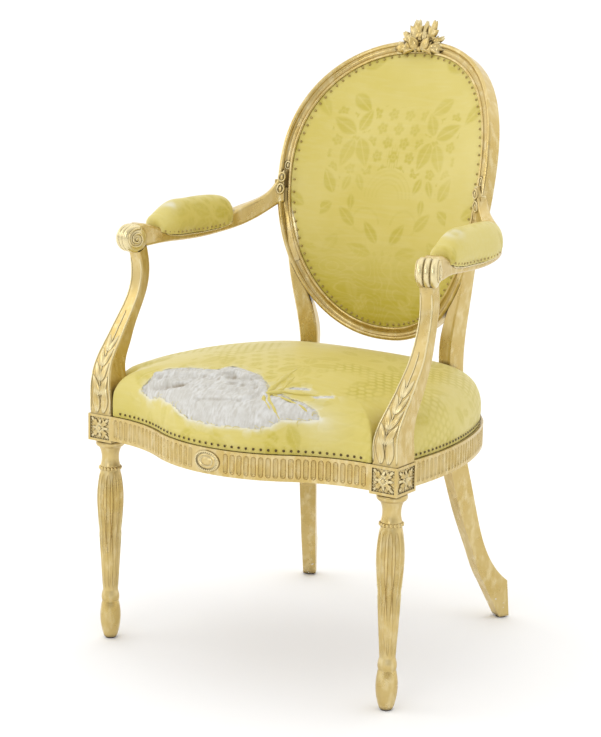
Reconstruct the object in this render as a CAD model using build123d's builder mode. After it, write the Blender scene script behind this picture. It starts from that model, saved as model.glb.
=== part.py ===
# Open-arm chair with a dished oval back, carved wooden frame and tacked upholstery.
# Millimetres, +Z up, front towards -Y. The origin lies on the floor under the middle of the chair.
import os
from math import asin, cos, degrees, hypot, pi, radians, sin

from build123d import *

# Seat frame
LEG_SPREAD = 512
FRONT_Y = -201
RAIL_TOP = 365
RAIL_HEIGHT = 38
RAIL_THICK = 28
UPSTAND = 20
REBATE = 8
BLOCK_WIDTH = 45
BLOCK_DEPTH = 52
SERPENTINE = 67
SIDE_INSET = 2
SIDE_BOW_RADIUS = 520
SIDE_BELLY_BACK = 95
SIDE_SHOULDER_BACK = 292
SIDE_TURN_RADIUS = 180
REAR_CANT = 29.3
JOINT_CLEARANCE = 0.15
SOFT_CLEARANCE = 0.3
WRAP_CLEARANCE = 0.8
TENON_THICK = 10
TENON_LENGTH = 17
BACK_TENON = 11
TENON_SHOULDER = 6
BACK_RAIL_THICK = 26
BRACE_REACH = 62
BRACE_HEIGHT = 26

# Flutes along the rails
FLUTE_PITCH = 10.6
FLUTE_RADIUS = 4.4
FLUTE_DEPTH = 2.4
FLUTE_MARGIN = 8

# Front legs
GLIDE_HEIGHT = 2.5
GLIDE_RADIUS = 8
TIP_RADIUS = 10
FOOT_RADIUS = 16
ANKLE_Z = 68
ANKLE_RADIUS = 14
SHAFT_FOOT_Z = 79
SHAFT_FOOT_RADIUS = 11.8
SHAFT_BULGE_Z = 215
SHAFT_BULGE_RADIUS = 20.2
SHAFT_TOP_Z = 273
SHAFT_TOP_RADIUS = 15.5
BEAD_RADIUS = 3.2
BEAD_COUNT = 18
NECK_RADIUS = 13.5
COLLAR_RADIUS = 22.5
LEG_FLUTES = 12
PANEL_MARGIN = 4
PANEL_DEPTH = 2

# Rear legs and stiles
REAR_WIDTH = 32
REAR_DEPTH = 38
REAR_STEP = 3
FOOT_REACH = 107
HEEL_HEIGHT = 64
FOOT_WIDTH = 22
STILE_WIDTH = 30
STILE_DEPTH = 31
STILE_SET_BACK = 4

# Dished back
BACK_SET = 380
BACK_WAIST_Z = 457
BACK_SWEEP_RADIUS = 1150
BACK_DISH_RADIUS = 310
OVAL_Z = 694
OVAL_HALF_WIDTH = 170
OVAL_HALF_HEIGHT = 218
OVAL_EGG = 0.11
OVAL_SQUARENESS = 2.24
MOULD_WIDTH = 22
MOULD_DEPTH = 21
CREST_JOINT = 3.5
LOWER_JOINT = -30
RAIL_SECTIONS = 13

# Arms
SUPPORT_BASE_WIDTH = 42
SUPPORT_BASE_DEPTH = 48
SCROLL_X = 266
SCROLL_BACK = 64
SCROLL_Z = 628
SCROLL_RADIUS = 21
SCROLL_FLARE = 20
ARM_WIDTH = 29
ARM_BOTTOM = 617
ARM_THICK = 23
PAD_WIDTH = 44
PAD_HEIGHT = 42
PAD_OVERLAP = 12
COVER_THICK = 1.6
SUPPORT_SWEEP = 78
SUPPORT_BOW = 9
DOWEL_RADIUS = 5
ARM_TENON = 11

# Upholstery
SEAT_RISE = 104
SEAT_SKIRT = 27
BACK_CROWN = 24
BACK_PAD_DEPTH = 11.5
COVER_SET = 3
PAD_GAP = 1.2
STRAP_WIDTH = 48
STRAP_THICK = 1.2
TACK_RADIUS = 1.9
TACK_PITCH = 11
SKIRT_SIZE = 0.983
BASE_CLOTH = 1
WEB_SIZE = 0.93
DOME_SINK = 0.9
TACK_LIFT = 0.3
SEAT_TACK_RISE = 6
BACK_TACK_INSET = 3.8

# Ornaments
PATERA_WIDTH = 44
PATERA_HEIGHT = 31
HUSK_RADIUS = 5.2
CREST_RISE = 54

os.makedirs("parts", exist_ok=True)

RAIL_BOTTOM = RAIL_TOP - RAIL_HEIGHT
HALF_SPAN = LEG_SPREAD / 2 - BLOCK_WIDTH / 2
FACE_Y = FRONT_Y - BLOCK_DEPTH / 2
LEG_X = LEG_SPREAD / 2
BOW_RADIUS = (HALF_SPAN**2 + SERPENTINE**2) / (4 * SERPENTINE)
BOW_ANGLE = degrees(asin(HALF_SPAN / 2 / BOW_RADIUS))
BOW_CENTER = (0, FACE_Y - SERPENTINE + BOW_RADIUS)
HOLLOW_CENTER = (HALF_SPAN, FACE_Y - BOW_RADIUS)
BELLY_X = LEG_X + BLOCK_WIDTH / 2 - SIDE_INSET
SIDE_CENTER = (BELLY_X - SIDE_BOW_RADIUS, FRONT_Y + SIDE_BELLY_BACK)
SIDE_START = -degrees(asin((SIDE_BELLY_BACK - BLOCK_DEPTH / 2) / SIDE_BOW_RADIUS))
SIDE_END = degrees(asin((SIDE_SHOULDER_BACK - SIDE_BELLY_BACK) / SIDE_BOW_RADIUS))
TURN_END = 90 - REAR_CANT
SEAT_MIDDLE = FRONT_Y + 150
UPSTAND_TOP = RAIL_TOP + UPSTAND


def polar(center, radius, angle):
    """Point on a circle in plan."""
    return (center[0] + radius * cos(radians(angle)), center[1] + radius * sin(radians(angle)))


TURN_CENTER = polar(polar(SIDE_CENTER, SIDE_BOW_RADIUS, SIDE_END), -SIDE_TURN_RADIUS, SIDE_END)
BACKWARD = Vector(sin(radians(REAR_CANT)), cos(radians(REAR_CANT)), 0)
OUTWARD = Vector(cos(radians(REAR_CANT)), -sin(radians(REAR_CANT)), 0)
RAIL_END = Vector(*polar(TURN_CENTER, SIDE_TURN_RADIUS, TURN_END), 0)
REAR_CENTER = RAIL_END - OUTWARD * (REAR_WIDTH / 2) - BACKWARD * (REAR_DEPTH / 2 - REAR_STEP)


def arc_band(center, inner, outer, start, sweep):
    """Part of a ring in plan."""
    with BuildSketch() as band:
        with BuildLine():
            near = CenterArc(center, inner, start, sweep)
            far = CenterArc(center, outer, start, sweep)
            Line(near @ 0, far @ 0)
            Line(near @ 1, far @ 1)
        make_face()
    return band.sketch


def spaced(length, pitch):
    """Even stations along a length, about one pitch apart."""
    count = max(1, round(length / pitch))
    return [(step + 0.5) / count for step in range(count)]


def save(piece, name):
    """Label a finished piece and write it to its own file."""
    piece.part.label = name
    export_step(piece.part, f"parts/{name}.step")


def mirrored(piece):
    """The left-hand partner of a right-hand piece."""
    with BuildPart() as partner:
        mirror(piece.part, about=Plane.YZ)
    return partner


# Rail flutes

with BuildPart() as flute:
    flute_length = RAIL_HEIGHT - 2 * FLUTE_MARGIN
    Cylinder(FLUTE_RADIUS, flute_length)
    with Locations((0, 0, flute_length / 2), (0, 0, -flute_length / 2)):
        Sphere(FLUTE_RADIUS)

flute_z = RAIL_BOTTOM + RAIL_HEIGHT / 2
flute_out = FLUTE_RADIUS - FLUTE_DEPTH
patera_half = 26
front_flutes = []
bow_length = radians(BOW_ANGLE) * BOW_RADIUS
for part in spaced(bow_length - patera_half, FLUTE_PITCH):
    turn = degrees((patera_half + part * (bow_length - patera_half)) / BOW_RADIUS)
    spot = polar(BOW_CENTER, BOW_RADIUS + flute_out, -90 + turn)
    front_flutes += [(side * spot[0], spot[1], flute_z) for side in (1, -1)]
for part in spaced(bow_length - FLUTE_MARGIN / 2, FLUTE_PITCH):
    turn = degrees((FLUTE_MARGIN / 2 + part * (bow_length - FLUTE_MARGIN / 2)) / BOW_RADIUS)
    spot = polar(HOLLOW_CENTER, BOW_RADIUS - flute_out, 90 + turn)
    front_flutes += [(side * spot[0], spot[1], flute_z) for side in (1, -1)]
side_flutes = []
side_length = radians(SIDE_END - SIDE_START) * SIDE_BOW_RADIUS
for part in spaced(side_length, FLUTE_PITCH):
    spot = polar(SIDE_CENTER, SIDE_BOW_RADIUS + flute_out, SIDE_START + part * (SIDE_END - SIDE_START))
    side_flutes.append((spot[0], spot[1], flute_z))
turn_length = radians(TURN_END - SIDE_END) * SIDE_TURN_RADIUS
for part in spaced(turn_length, FLUTE_PITCH):
    spot = polar(TURN_CENTER, SIDE_TURN_RADIUS + flute_out, SIDE_END + part * (TURN_END - SIDE_END))
    side_flutes.append((spot[0], spot[1], flute_z))

# Tenons of the rails

tenon_height = RAIL_HEIGHT - 2 * TENON_SHOULDER
tenon_z = RAIL_BOTTOM + RAIL_HEIGHT / 2
front_tenon_y = FACE_Y + RAIL_THICK / 2
side_tenon_x = polar(SIDE_CENTER, SIDE_BOW_RADIUS - RAIL_THICK / 2, SIDE_START)[0]
rear_tenon = RAIL_END - BACKWARD * (RAIL_THICK / 2)
BACK_RAIL_Y = REAR_CENTER.Y


def front_rail_plan(inset_front, inset_back):
    """Serpentine plan of the front rail between two insets from its show face."""
    with BuildSketch() as plan:
        inner, outer = BOW_RADIUS - inset_back, BOW_RADIUS - inset_front
        add(arc_band(BOW_CENTER, inner, outer, -90 - BOW_ANGLE, 2 * BOW_ANGLE))
        for side in (1, -1):
            center = (side * HOLLOW_CENTER[0], HOLLOW_CENTER[1])
            add(arc_band(center, BOW_RADIUS + inset_front, BOW_RADIUS + inset_back, 90, side * BOW_ANGLE))
    return plan.sketch


def side_rail_plan(inset_out, inset_in):
    """Bowed plan of the right side rail between two insets from its show face."""
    with BuildSketch() as plan:
        inner, outer = SIDE_BOW_RADIUS - inset_in, SIDE_BOW_RADIUS - inset_out
        add(arc_band(SIDE_CENTER, inner, outer, SIDE_START, SIDE_END - SIDE_START))
        inner, outer = SIDE_TURN_RADIUS - inset_in, SIDE_TURN_RADIUS - inset_out
        add(arc_band(TURN_CENTER, inner, outer, SIDE_END, TURN_END - SIDE_END))
    return plan.sketch


# Front rail

with BuildPart() as front_rail:
    with BuildSketch(Plane.XY.offset(RAIL_BOTTOM)):
        add(front_rail_plan(0, RAIL_THICK))
    extrude(amount=RAIL_HEIGHT)
    with BuildSketch(Plane.XY.offset(RAIL_TOP)):
        add(front_rail_plan(REBATE, RAIL_THICK))
    extrude(amount=UPSTAND)
    with Locations(*front_flutes):
        add(flute.part, mode=Mode.SUBTRACT)
    for side in (1, -1):
        with Locations((side * (HALF_SPAN + TENON_LENGTH / 2 - 1), front_tenon_y, tenon_z)):
            Box(TENON_LENGTH + 2, TENON_THICK, tenon_height)
save(front_rail, "front_rail")

# Side rails

with BuildPart() as side_rail_right:
    with BuildSketch(Plane.XY.offset(RAIL_BOTTOM)):
        add(side_rail_plan(0, RAIL_THICK))
    extrude(amount=RAIL_HEIGHT)
    with BuildSketch(Plane.XY.offset(RAIL_TOP)):
        add(side_rail_plan(REBATE, RAIL_THICK))
    extrude(amount=UPSTAND)
    with Locations(*side_flutes):
        add(flute.part, mode=Mode.SUBTRACT)
    with Locations((side_tenon_x, FRONT_Y + BLOCK_DEPTH / 2 - TENON_LENGTH / 2 + 1, tenon_z)):
        Box(TENON_THICK, TENON_LENGTH + 2, tenon_height)
    with BuildSketch(Plane(rear_tenon + OUTWARD + Vector(0, 0, tenon_z), x_dir=BACKWARD, z_dir=-OUTWARD)):
        Rectangle(TENON_THICK, tenon_height)
    extrude(amount=TENON_LENGTH + 1)
    with BuildSketch(Plane.XY.offset(RAIL_BOTTOM)):
        with Locations((LEG_X, FRONT_Y + BLOCK_DEPTH / 2 - 10 - TENON_LENGTH)):
            Rectangle(BLOCK_WIDTH, 20)
    extrude(amount=RAIL_HEIGHT + UPSTAND, mode=Mode.SUBTRACT)
save(side_rail_right, "side_rail_right")
save(mirrored(side_rail_right), "side_rail_left")

# Back rail between the rear legs

inner_face_x = REAR_CENTER.X - REAR_WIDTH / 2 / cos(radians(REAR_CANT))
with BuildPart() as back_rail:
    with BuildSketch(Plane.XY.offset(RAIL_BOTTOM)):
        lean = BACK_RAIL_THICK / 2 * sin(radians(REAR_CANT)) / cos(radians(REAR_CANT))
        with BuildLine():
            Polyline(
                (inner_face_x - lean, BACK_RAIL_Y - BACK_RAIL_THICK / 2),
                (inner_face_x + lean, BACK_RAIL_Y + BACK_RAIL_THICK / 2),
                (-inner_face_x - lean, BACK_RAIL_Y + BACK_RAIL_THICK / 2),
                (-inner_face_x + lean, BACK_RAIL_Y - BACK_RAIL_THICK / 2),
                close=True,
            )
        make_face()
    extrude(amount=RAIL_HEIGHT + UPSTAND)
    with Locations((0, BACK_RAIL_Y, tenon_z)):
        Box(2 * (inner_face_x + BACK_TENON), TENON_THICK, tenon_height)
save(back_rail, "back_rail")

# Front legs

with BuildPart() as leg_flute:
    slope = (SHAFT_BULGE_RADIUS - SHAFT_FOOT_RADIUS) / (SHAFT_BULGE_Z - SHAFT_FOOT_Z)
    crown = (SHAFT_TOP_Z - SHAFT_BULGE_Z) / 2
    for height, bite, out in (
        (SHAFT_FOOT_Z + 5, 0.5, 0.4),
        (SHAFT_FOOT_Z + 13, 2.3, 0.8),
        ((SHAFT_FOOT_Z + SHAFT_BULGE_Z) / 2, 3.3, 1.2),
        (SHAFT_BULGE_Z, 4.3, 1.6),
        (SHAFT_BULGE_Z + crown, 4.2, 1.0),
        (SHAFT_TOP_Z - 11, 3.0, 0.6),
        (SHAFT_TOP_Z - 4, 0.6, 0.4),
    ):
        rise = min(height, SHAFT_BULGE_Z) - SHAFT_FOOT_Z
        over = max(0, height - SHAFT_BULGE_Z) / (SHAFT_TOP_Z - SHAFT_BULGE_Z)
        drop = (SHAFT_BULGE_RADIUS - SHAFT_TOP_RADIUS) * over
        swell = 2.4 * 4 * over * (1 - over)
        reach = SHAFT_FOOT_RADIUS + slope * rise - drop + swell + out
        with BuildSketch(Plane((LEG_X + reach, FRONT_Y, height))):
            Circle(bite)
    loft()

shaft_axis = Axis((LEG_X, FRONT_Y, 0), (0, 0, 1))
block_bottom = RAIL_BOTTOM - 4
bead_z = SHAFT_TOP_Z + BEAD_RADIUS + 1
with BuildPart() as bead:
    Sphere(BEAD_RADIUS)
with BuildPart() as front_leg_right:
    with BuildSketch(Plane((LEG_X, FRONT_Y, 0), x_dir=(1, 0, 0), z_dir=(0, -1, 0))):
        with BuildLine():
            Polyline((0, block_bottom + 6), (0, GLIDE_HEIGHT), (TIP_RADIUS, GLIDE_HEIGHT))
            foot_top = (ANKLE_RADIUS - 1, ANKLE_Z - 7)
            ThreePointArc((TIP_RADIUS, GLIDE_HEIGHT), (FOOT_RADIUS, ANKLE_Z * 0.6), foot_top)
            ring_top = (ANKLE_RADIUS - 1, ANKLE_Z + 6)
            ThreePointArc(foot_top, (ANKLE_RADIUS, ANKLE_Z), ring_top)
            Polyline(ring_top, (SHAFT_FOOT_RADIUS, SHAFT_FOOT_Z))
            shaft = Line((SHAFT_FOOT_RADIUS, SHAFT_FOOT_Z), (SHAFT_BULGE_RADIUS, SHAFT_BULGE_Z))
            TangentArc(shaft @ 1, (SHAFT_TOP_RADIUS, SHAFT_TOP_Z), tangent=shaft % 1)
            neck_foot = (SHAFT_TOP_RADIUS, bead_z + BEAD_RADIUS + 1)
            neck_top = (COLLAR_RADIUS - 5, block_bottom - 12)
            Line((SHAFT_TOP_RADIUS, SHAFT_TOP_Z), neck_foot)
            ThreePointArc(neck_foot, (NECK_RADIUS, (neck_foot[1] + neck_top[1]) / 2), neck_top)
            ThreePointArc(neck_top, (COLLAR_RADIUS, block_bottom - 6), (COLLAR_RADIUS - 4, block_bottom))
            Polyline((COLLAR_RADIUS - 4, block_bottom), (COLLAR_RADIUS - 4, block_bottom + 6),
                     (0, block_bottom + 6))
        make_face()
    revolve(axis=shaft_axis)
    add([leg_flute.part.rotate(shaft_axis, step * 360 / LEG_FLUTES) for step in range(LEG_FLUTES)],
        mode=Mode.SUBTRACT)
    with Locations((LEG_X, FRONT_Y, bead_z)):
        with PolarLocations(SHAFT_TOP_RADIUS - 0.4, BEAD_COUNT):
            add(bead.part)
    with BuildSketch(Plane((LEG_X, FRONT_Y, block_bottom))):
        Rectangle(BLOCK_WIDTH, BLOCK_DEPTH)
    extrude(amount=RAIL_TOP - block_bottom)
    panel_tall = RAIL_TOP - block_bottom - 2 * PANEL_MARGIN
    panel_z = (RAIL_TOP + block_bottom) / 2
    with Locations((LEG_X, FACE_Y, panel_z)):
        Box(BLOCK_WIDTH - 2 * PANEL_MARGIN, 2 * PANEL_DEPTH, panel_tall, mode=Mode.SUBTRACT)
    with Locations((LEG_X + BLOCK_WIDTH / 2, FRONT_Y, panel_z)):
        Box(2 * PANEL_DEPTH, BLOCK_DEPTH - 2 * PANEL_MARGIN, panel_tall, mode=Mode.SUBTRACT)
    slack = 2 * JOINT_CLEARANCE
    with Locations((HALF_SPAN + TENON_LENGTH / 2, front_tenon_y, tenon_z)):
        Box(TENON_LENGTH + slack, TENON_THICK + slack, tenon_height + slack, mode=Mode.SUBTRACT)
    with Locations((side_tenon_x, FRONT_Y + BLOCK_DEPTH / 2 - TENON_LENGTH / 2, tenon_z)):
        Box(TENON_THICK + slack, TENON_LENGTH + slack, tenon_height + slack, mode=Mode.SUBTRACT)
    with Locations((LEG_X, FRONT_Y, RAIL_TOP - 8)):
        Box(TENON_THICK + slack, TENON_THICK + slack, 16 + slack, mode=Mode.SUBTRACT)
save(front_leg_right, "front_leg_right")
save(mirrored(front_leg_right), "front_leg_left")

# The back's dished surface and its oval


def back_y(x, z):
    """Front surface of the dished back."""
    sweep = (z - BACK_WAIST_Z) ** 2 / (2 * BACK_SWEEP_RADIUS)
    return FRONT_Y + BACK_SET + sweep - x**2 / (2 * BACK_DISH_RADIUS)


def oval_width(level, grow):
    """Half width of the oval at a level from -1 at its bottom to 1 at its top."""
    side = (1 - abs(level) ** OVAL_SQUARENESS) ** (1 / OVAL_SQUARENESS)
    return (OVAL_HALF_WIDTH + grow) * side * (1 + OVAL_EGG * level)


def oval_point(angle, grow):
    """Point of the oval on the dished surface, the angle counted from the right."""
    lift = sin(radians(angle))
    level = abs(lift) ** (2 / OVAL_SQUARENESS) * (1 if lift > 0 else -1)
    z = OVAL_Z + (OVAL_HALF_HEIGHT + grow) * level
    x = oval_width(level, grow) * (1 if cos(radians(angle)) > 0 else -1)
    return Vector(x, back_y(x, z), z)


def oval_plane(angle):
    """Section plane across the oval: x outward from the sight edge, y towards the back."""
    along = oval_point(angle + 0.5, 0) - oval_point(angle - 0.5, 0)
    outward = oval_point(angle, 8) - oval_point(angle, 0)
    return Plane(oval_point(angle, 0), x_dir=outward, z_dir=along)


def moulding():
    """Moulded section of the oval frame: bead, hollow and outer roll."""
    inner, outer = MOULD_WIDTH * 0.24, MOULD_WIDTH * 0.66
    with BuildSketch() as section:
        with BuildLine():
            ThreePointArc((0, 2.6), (inner / 2, 0), (inner, 2.6))
            ThreePointArc((inner, 2.6), ((inner + outer) / 2, 4.6), (outer, 2.6))
            ThreePointArc((outer, 2.6), ((outer + MOULD_WIDTH) / 2, -0.4), (MOULD_WIDTH, 3))
            Polyline((MOULD_WIDTH, 3), (MOULD_WIDTH - 1.5, MOULD_DEPTH), (0, MOULD_DEPTH), (0, 2.6))
        make_face()
    return section.sketch


def oval_run(start, end, count):
    """Length of the oval frame between two angles."""
    with BuildPart() as run:
        for step in range(count):
            with BuildSketch(oval_plane(start + (end - start) * step / (count - 1))):
                add(moulding())
        loft()
    return run.part


def oval_room(start, end, count):
    """Plain space round a length of the oval frame, cut from what meets it."""
    with BuildPart() as run:
        for step in range(count):
            with BuildSketch(oval_plane(start + (end - start) * step / (count - 1))):
                with Locations((MOULD_WIDTH / 2, MOULD_DEPTH / 2)):
                    Rectangle(MOULD_WIDTH + 2 * SOFT_CLEARANCE, MOULD_DEPTH + 6)
        loft()
    return run.part


def oval_tenon(angle, direction, grow):
    """Tenon across a joint of the oval frame."""
    base = oval_plane(angle)
    root = base.from_local_coords((MOULD_WIDTH / 2, MOULD_DEPTH * 0.58, -2 * direction))
    with BuildPart() as tongue:
        with BuildSketch(Plane(root, x_dir=base.x_dir, z_dir=base.z_dir * direction)):
            Rectangle(MOULD_WIDTH * 0.4 + 2 * grow, MOULD_DEPTH * 0.4 + 2 * grow)
        extrude(amount=TENON_LENGTH + 2 + grow)
    return tongue.part


crest_run = oval_run(CREST_JOINT, 180 - CREST_JOINT, RAIL_SECTIONS)
lower_run = oval_run(180 - LOWER_JOINT, 360 + LOWER_JOINT, RAIL_SECTIONS)
side_run = oval_run(LOWER_JOINT, CREST_JOINT, 7)

with BuildPart() as crest_rail:
    add(crest_run)
    add(oval_tenon(CREST_JOINT, -1, 0))
    add(oval_tenon(180 - CREST_JOINT, 1, 0))
save(crest_rail, "crest_rail")

with BuildPart() as lower_back_rail:
    add(lower_run)
    add(oval_tenon(180 - LOWER_JOINT, -1, 0))
    add(oval_tenon(360 + LOWER_JOINT, 1, 0))
save(lower_back_rail, "lower_back_rail")

# Rear legs: sabre leg, stile and the side of the oval in one piece


def sabre(height):
    """How far the leg has swept back at a height."""
    return FOOT_REACH * ((RAIL_BOTTOM - height) / RAIL_BOTTOM) ** 1.5


leg_side = Plane((REAR_CENTER.X, REAR_CENTER.Y, 0), x_dir=BACKWARD, z_dir=OUTWARD)
with BuildPart() as taper:
    with BuildSketch(Plane((REAR_CENTER.X, REAR_CENTER.Y, 0), x_dir=OUTWARD, z_dir=-BACKWARD)):
        with BuildLine():
            Polyline(
                (-FOOT_WIDTH / 2, 0), (FOOT_WIDTH / 2, 0),
                (REAR_WIDTH / 2, RAIL_BOTTOM), (REAR_WIDTH / 2, RAIL_TOP),
                (-REAR_WIDTH / 2, RAIL_TOP), (-REAR_WIDTH / 2, RAIL_BOTTOM), close=True,
            )
        make_face()
    extrude(amount=3 * FOOT_REACH, both=True)


def stile_run(grow):
    """Stile from inside the seat block up to the side of the oval."""
    foot_z, top_z = RAIL_TOP + 85, OVAL_Z - 4
    foot_x, top_x = REAR_CENTER.X - 3, OVAL_HALF_WIDTH + MOULD_WIDTH / 2
    with BuildPart() as run:
        for below, shrink in ((-30, 4), (-8, 4), (20, 6)):
            spot = (REAR_CENTER.X, REAR_CENTER.Y - shrink / 2, RAIL_TOP + below)
            with BuildSketch(Plane(spot, x_dir=OUTWARD, z_dir=(0, 0, 1))):
                RectangleRounded(REAR_WIDTH - shrink + 2 * grow, REAR_DEPTH - shrink + 2 * grow, 4)
        for share in (0, 0.3, 0.58, 0.82, 1):
            x, z = foot_x + (top_x - foot_x) * share, foot_z + (top_z - foot_z) * share
            wide, deep = STILE_WIDTH * (1 - 0.45 * share), STILE_DEPTH * (1 - 0.5 * share)
            spot = (x, back_y(x, z) + STILE_SET_BACK + deep / 2, z)
            with BuildSketch(Plane(spot, x_dir=(1, -x / BACK_DISH_RADIUS, 0), z_dir=(0, 0, 1))):
                RectangleRounded(wide + 2 * grow, deep + 2 * grow, 4)
        loft()
    return run.part


with BuildPart() as rear_leg_right:
    with BuildSketch(leg_side):
        with BuildLine():
            levels = [RAIL_BOTTOM * share for share in (0.78, 0.55, 0.36, 0.2)]
            front = [(sabre(z) - REAR_DEPTH * (0.27 + 0.2 * z / RAIL_BOTTOM), z) for z in levels]
            back = [(sabre(z) + REAR_DEPTH * (0.27 + 0.2 * z / RAIL_BOTTOM), z) for z in levels[:3]]
            heel = (FOOT_REACH + 3, HEEL_HEIGHT)
            Spline((-REAR_DEPTH / 2, RAIL_BOTTOM), *front, tangents=[(0, -1), (0.55, -0.84)])
            Polyline(front[-1], (FOOT_REACH - 9, GLIDE_HEIGHT), (FOOT_REACH + 9, GLIDE_HEIGHT), heel)
            Spline(heel, *reversed(back), (REAR_DEPTH / 2, RAIL_BOTTOM), tangents=[(-0.8, 0.6), (0, 1)])
            Polyline((REAR_DEPTH / 2, RAIL_BOTTOM), (REAR_DEPTH / 2, RAIL_TOP), (-REAR_DEPTH / 2, RAIL_TOP),
                     (-REAR_DEPTH / 2, RAIL_BOTTOM))
        make_face()
    extrude(amount=REAR_WIDTH, both=True)
    add(taper.part, mode=Mode.INTERSECT)
    add(stile_run(0))
    add(oval_room(180 - LOWER_JOINT, 360 + LOWER_JOINT + 0.4, RAIL_SECTIONS), mode=Mode.SUBTRACT)
    add(side_run)
    add(side_rail_right.part, mode=Mode.SUBTRACT)
    add(oval_tenon(CREST_JOINT, -1, JOINT_CLEARANCE), mode=Mode.SUBTRACT)
    add(oval_tenon(LOWER_JOINT, 1, JOINT_CLEARANCE), mode=Mode.SUBTRACT)
    with BuildSketch(Plane(rear_tenon + Vector(0, 0, tenon_z), x_dir=BACKWARD, z_dir=-OUTWARD)):
        Rectangle(TENON_THICK + slack, tenon_height + slack)
    extrude(amount=TENON_LENGTH + JOINT_CLEARANCE, mode=Mode.SUBTRACT)
    with Locations((0, BACK_RAIL_Y, tenon_z)):
        Box(2 * (inner_face_x + BACK_TENON) + slack, TENON_THICK + slack, tenon_height + slack,
            mode=Mode.SUBTRACT)

# Arm supports

support_shape = (
    (0, 0, 0, 1, 1),
    (0.07, 0.03, 0, 0.99, 0.98),
    (0.15, 0.1, -0.01, 0.95, 0.94),
    (0.255, 0.65, 0.06, 0.83, 0.81),
    (0.355, 1, 0.26, 0.74, 0.7),
    (0.445, 1.05, 0.47, 0.67, 0.58),
    (0.54, 1, 0.68, 0.6, 0.48),
    (0.64, 0.72, 0.87, 0.54, 0.43),
    (0.75, 0.55, 1, 0.52, 0.42),
    (0.855, 0.55, 1.01, 0.52, 0.44),
    (0.95, 0.65, 0.93, 0.55, 0.48),
)


def support_run(grow):
    """Swept support from the leg block up into the scroll."""
    with BuildPart() as run:
        for share, bow, sweep, wide, deep in support_shape:
            z = RAIL_TOP + (SCROLL_Z - RAIL_TOP) * share
            with BuildSketch(Plane((LEG_X + SUPPORT_BOW * bow, FRONT_Y + SUPPORT_SWEEP * sweep, z))):
                RectangleRounded(SUPPORT_BASE_WIDTH * wide + 2 * grow,
                                 SUPPORT_BASE_DEPTH * deep + 2 * grow, 3)
        loft()
    return run.part


# Line of the arms

arm_shape = (
    (SCROLL_X, SCROLL_BACK, SCROLL_Z + 2, 0.9, 30),
    (SCROLL_X - 2, SCROLL_BACK + 22, SCROLL_Z + 4, 0.95, 35),
    (SCROLL_X - 7, SCROLL_BACK + 48, ARM_BOTTOM + ARM_THICK / 2 + 1, 1, ARM_THICK + 2),
    (SCROLL_X - 10, SCROLL_BACK + 96, ARM_BOTTOM + ARM_THICK / 2, 1, ARM_THICK),
    (SCROLL_X - 11, SCROLL_BACK + 151, ARM_BOTTOM + ARM_THICK / 2, 1, ARM_THICK),
    (SCROLL_X - 16, SCROLL_BACK + 206, ARM_BOTTOM + ARM_THICK / 2 + 5, 0.96, ARM_THICK + 1),
    (SCROLL_X - 29, SCROLL_BACK + 243, ARM_BOTTOM + 27, 0.83, 30),
    (SCROLL_X - 50, SCROLL_BACK + 265, ARM_BOTTOM + 40, 0.7, 30),
    (SCROLL_X - 68, SCROLL_BACK + 279, ARM_BOTTOM + 56, 0.6, 34),
    (OVAL_HALF_WIDTH + MOULD_WIDTH / 2, SCROLL_BACK + 290, ARM_BOTTOM + 76, 0.52, 54),
)


def arm_plane(index, lift=0):
    """Upright section plane across the arm at one of its stations."""
    x, back, z = arm_shape[index][:3]
    before, after = arm_shape[max(0, index - 1)], arm_shape[min(len(arm_shape) - 1, index + 1)]
    along = Vector(after[0] - before[0], after[1] - before[1], 0)
    return Plane((x, FRONT_Y + back, z + lift), x_dir=(along.Y, -along.X, 0), z_dir=along)


def arm_run(grow):
    """Arm from inside the scroll to inside the stile."""
    with BuildPart() as run:
        for index, (x, back, z, wide, tall) in enumerate(arm_shape):
            with BuildSketch(arm_plane(index)):
                RectangleRounded(ARM_WIDTH * wide + 2 * grow, tall + 2 * grow, 5)
        loft()
    return run.part


scroll_spot = Vector(SCROLL_X, FRONT_Y + SCROLL_BACK, SCROLL_Z)
flare = radians(SCROLL_FLARE)
scroll_across, scroll_front = Vector(cos(flare), sin(flare), 0), Vector(sin(flare), -cos(flare), 0)
scroll_axis = Axis(scroll_spot, scroll_across)
scroll_plane = Plane(scroll_spot, x_dir=scroll_across, z_dir=scroll_front)
dowel_x, dowel_y = LEG_X + SUPPORT_BOW * 0.6, FRONT_Y + SUPPORT_SWEEP * 0.9
with BuildPart() as arm_support_right:
    add(support_run(0))
    with BuildSketch(Plane(scroll_spot - scroll_across * ARM_WIDTH, x_dir=scroll_front, z_dir=scroll_across)):
        Circle(SCROLL_RADIUS + JOINT_CLEARANCE)
    extrude(amount=2 * ARM_WIDTH, mode=Mode.SUBTRACT)
    add(arm_run(JOINT_CLEARANCE), mode=Mode.SUBTRACT)
    add(side_rail_right.part, mode=Mode.SUBTRACT)
    with BuildSketch(Plane((dowel_x, dowel_y, SCROLL_Z - SCROLL_RADIUS - 8))):
        Circle(DOWEL_RADIUS)
    extrude(amount=SCROLL_RADIUS + 4)
    with Locations((LEG_X, FRONT_Y, RAIL_TOP - 7)):
        Box(TENON_THICK, TENON_THICK, 18)
save(arm_support_right, "arm_support_right")
save(mirrored(arm_support_right), "arm_support_left")

# Arms

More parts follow.
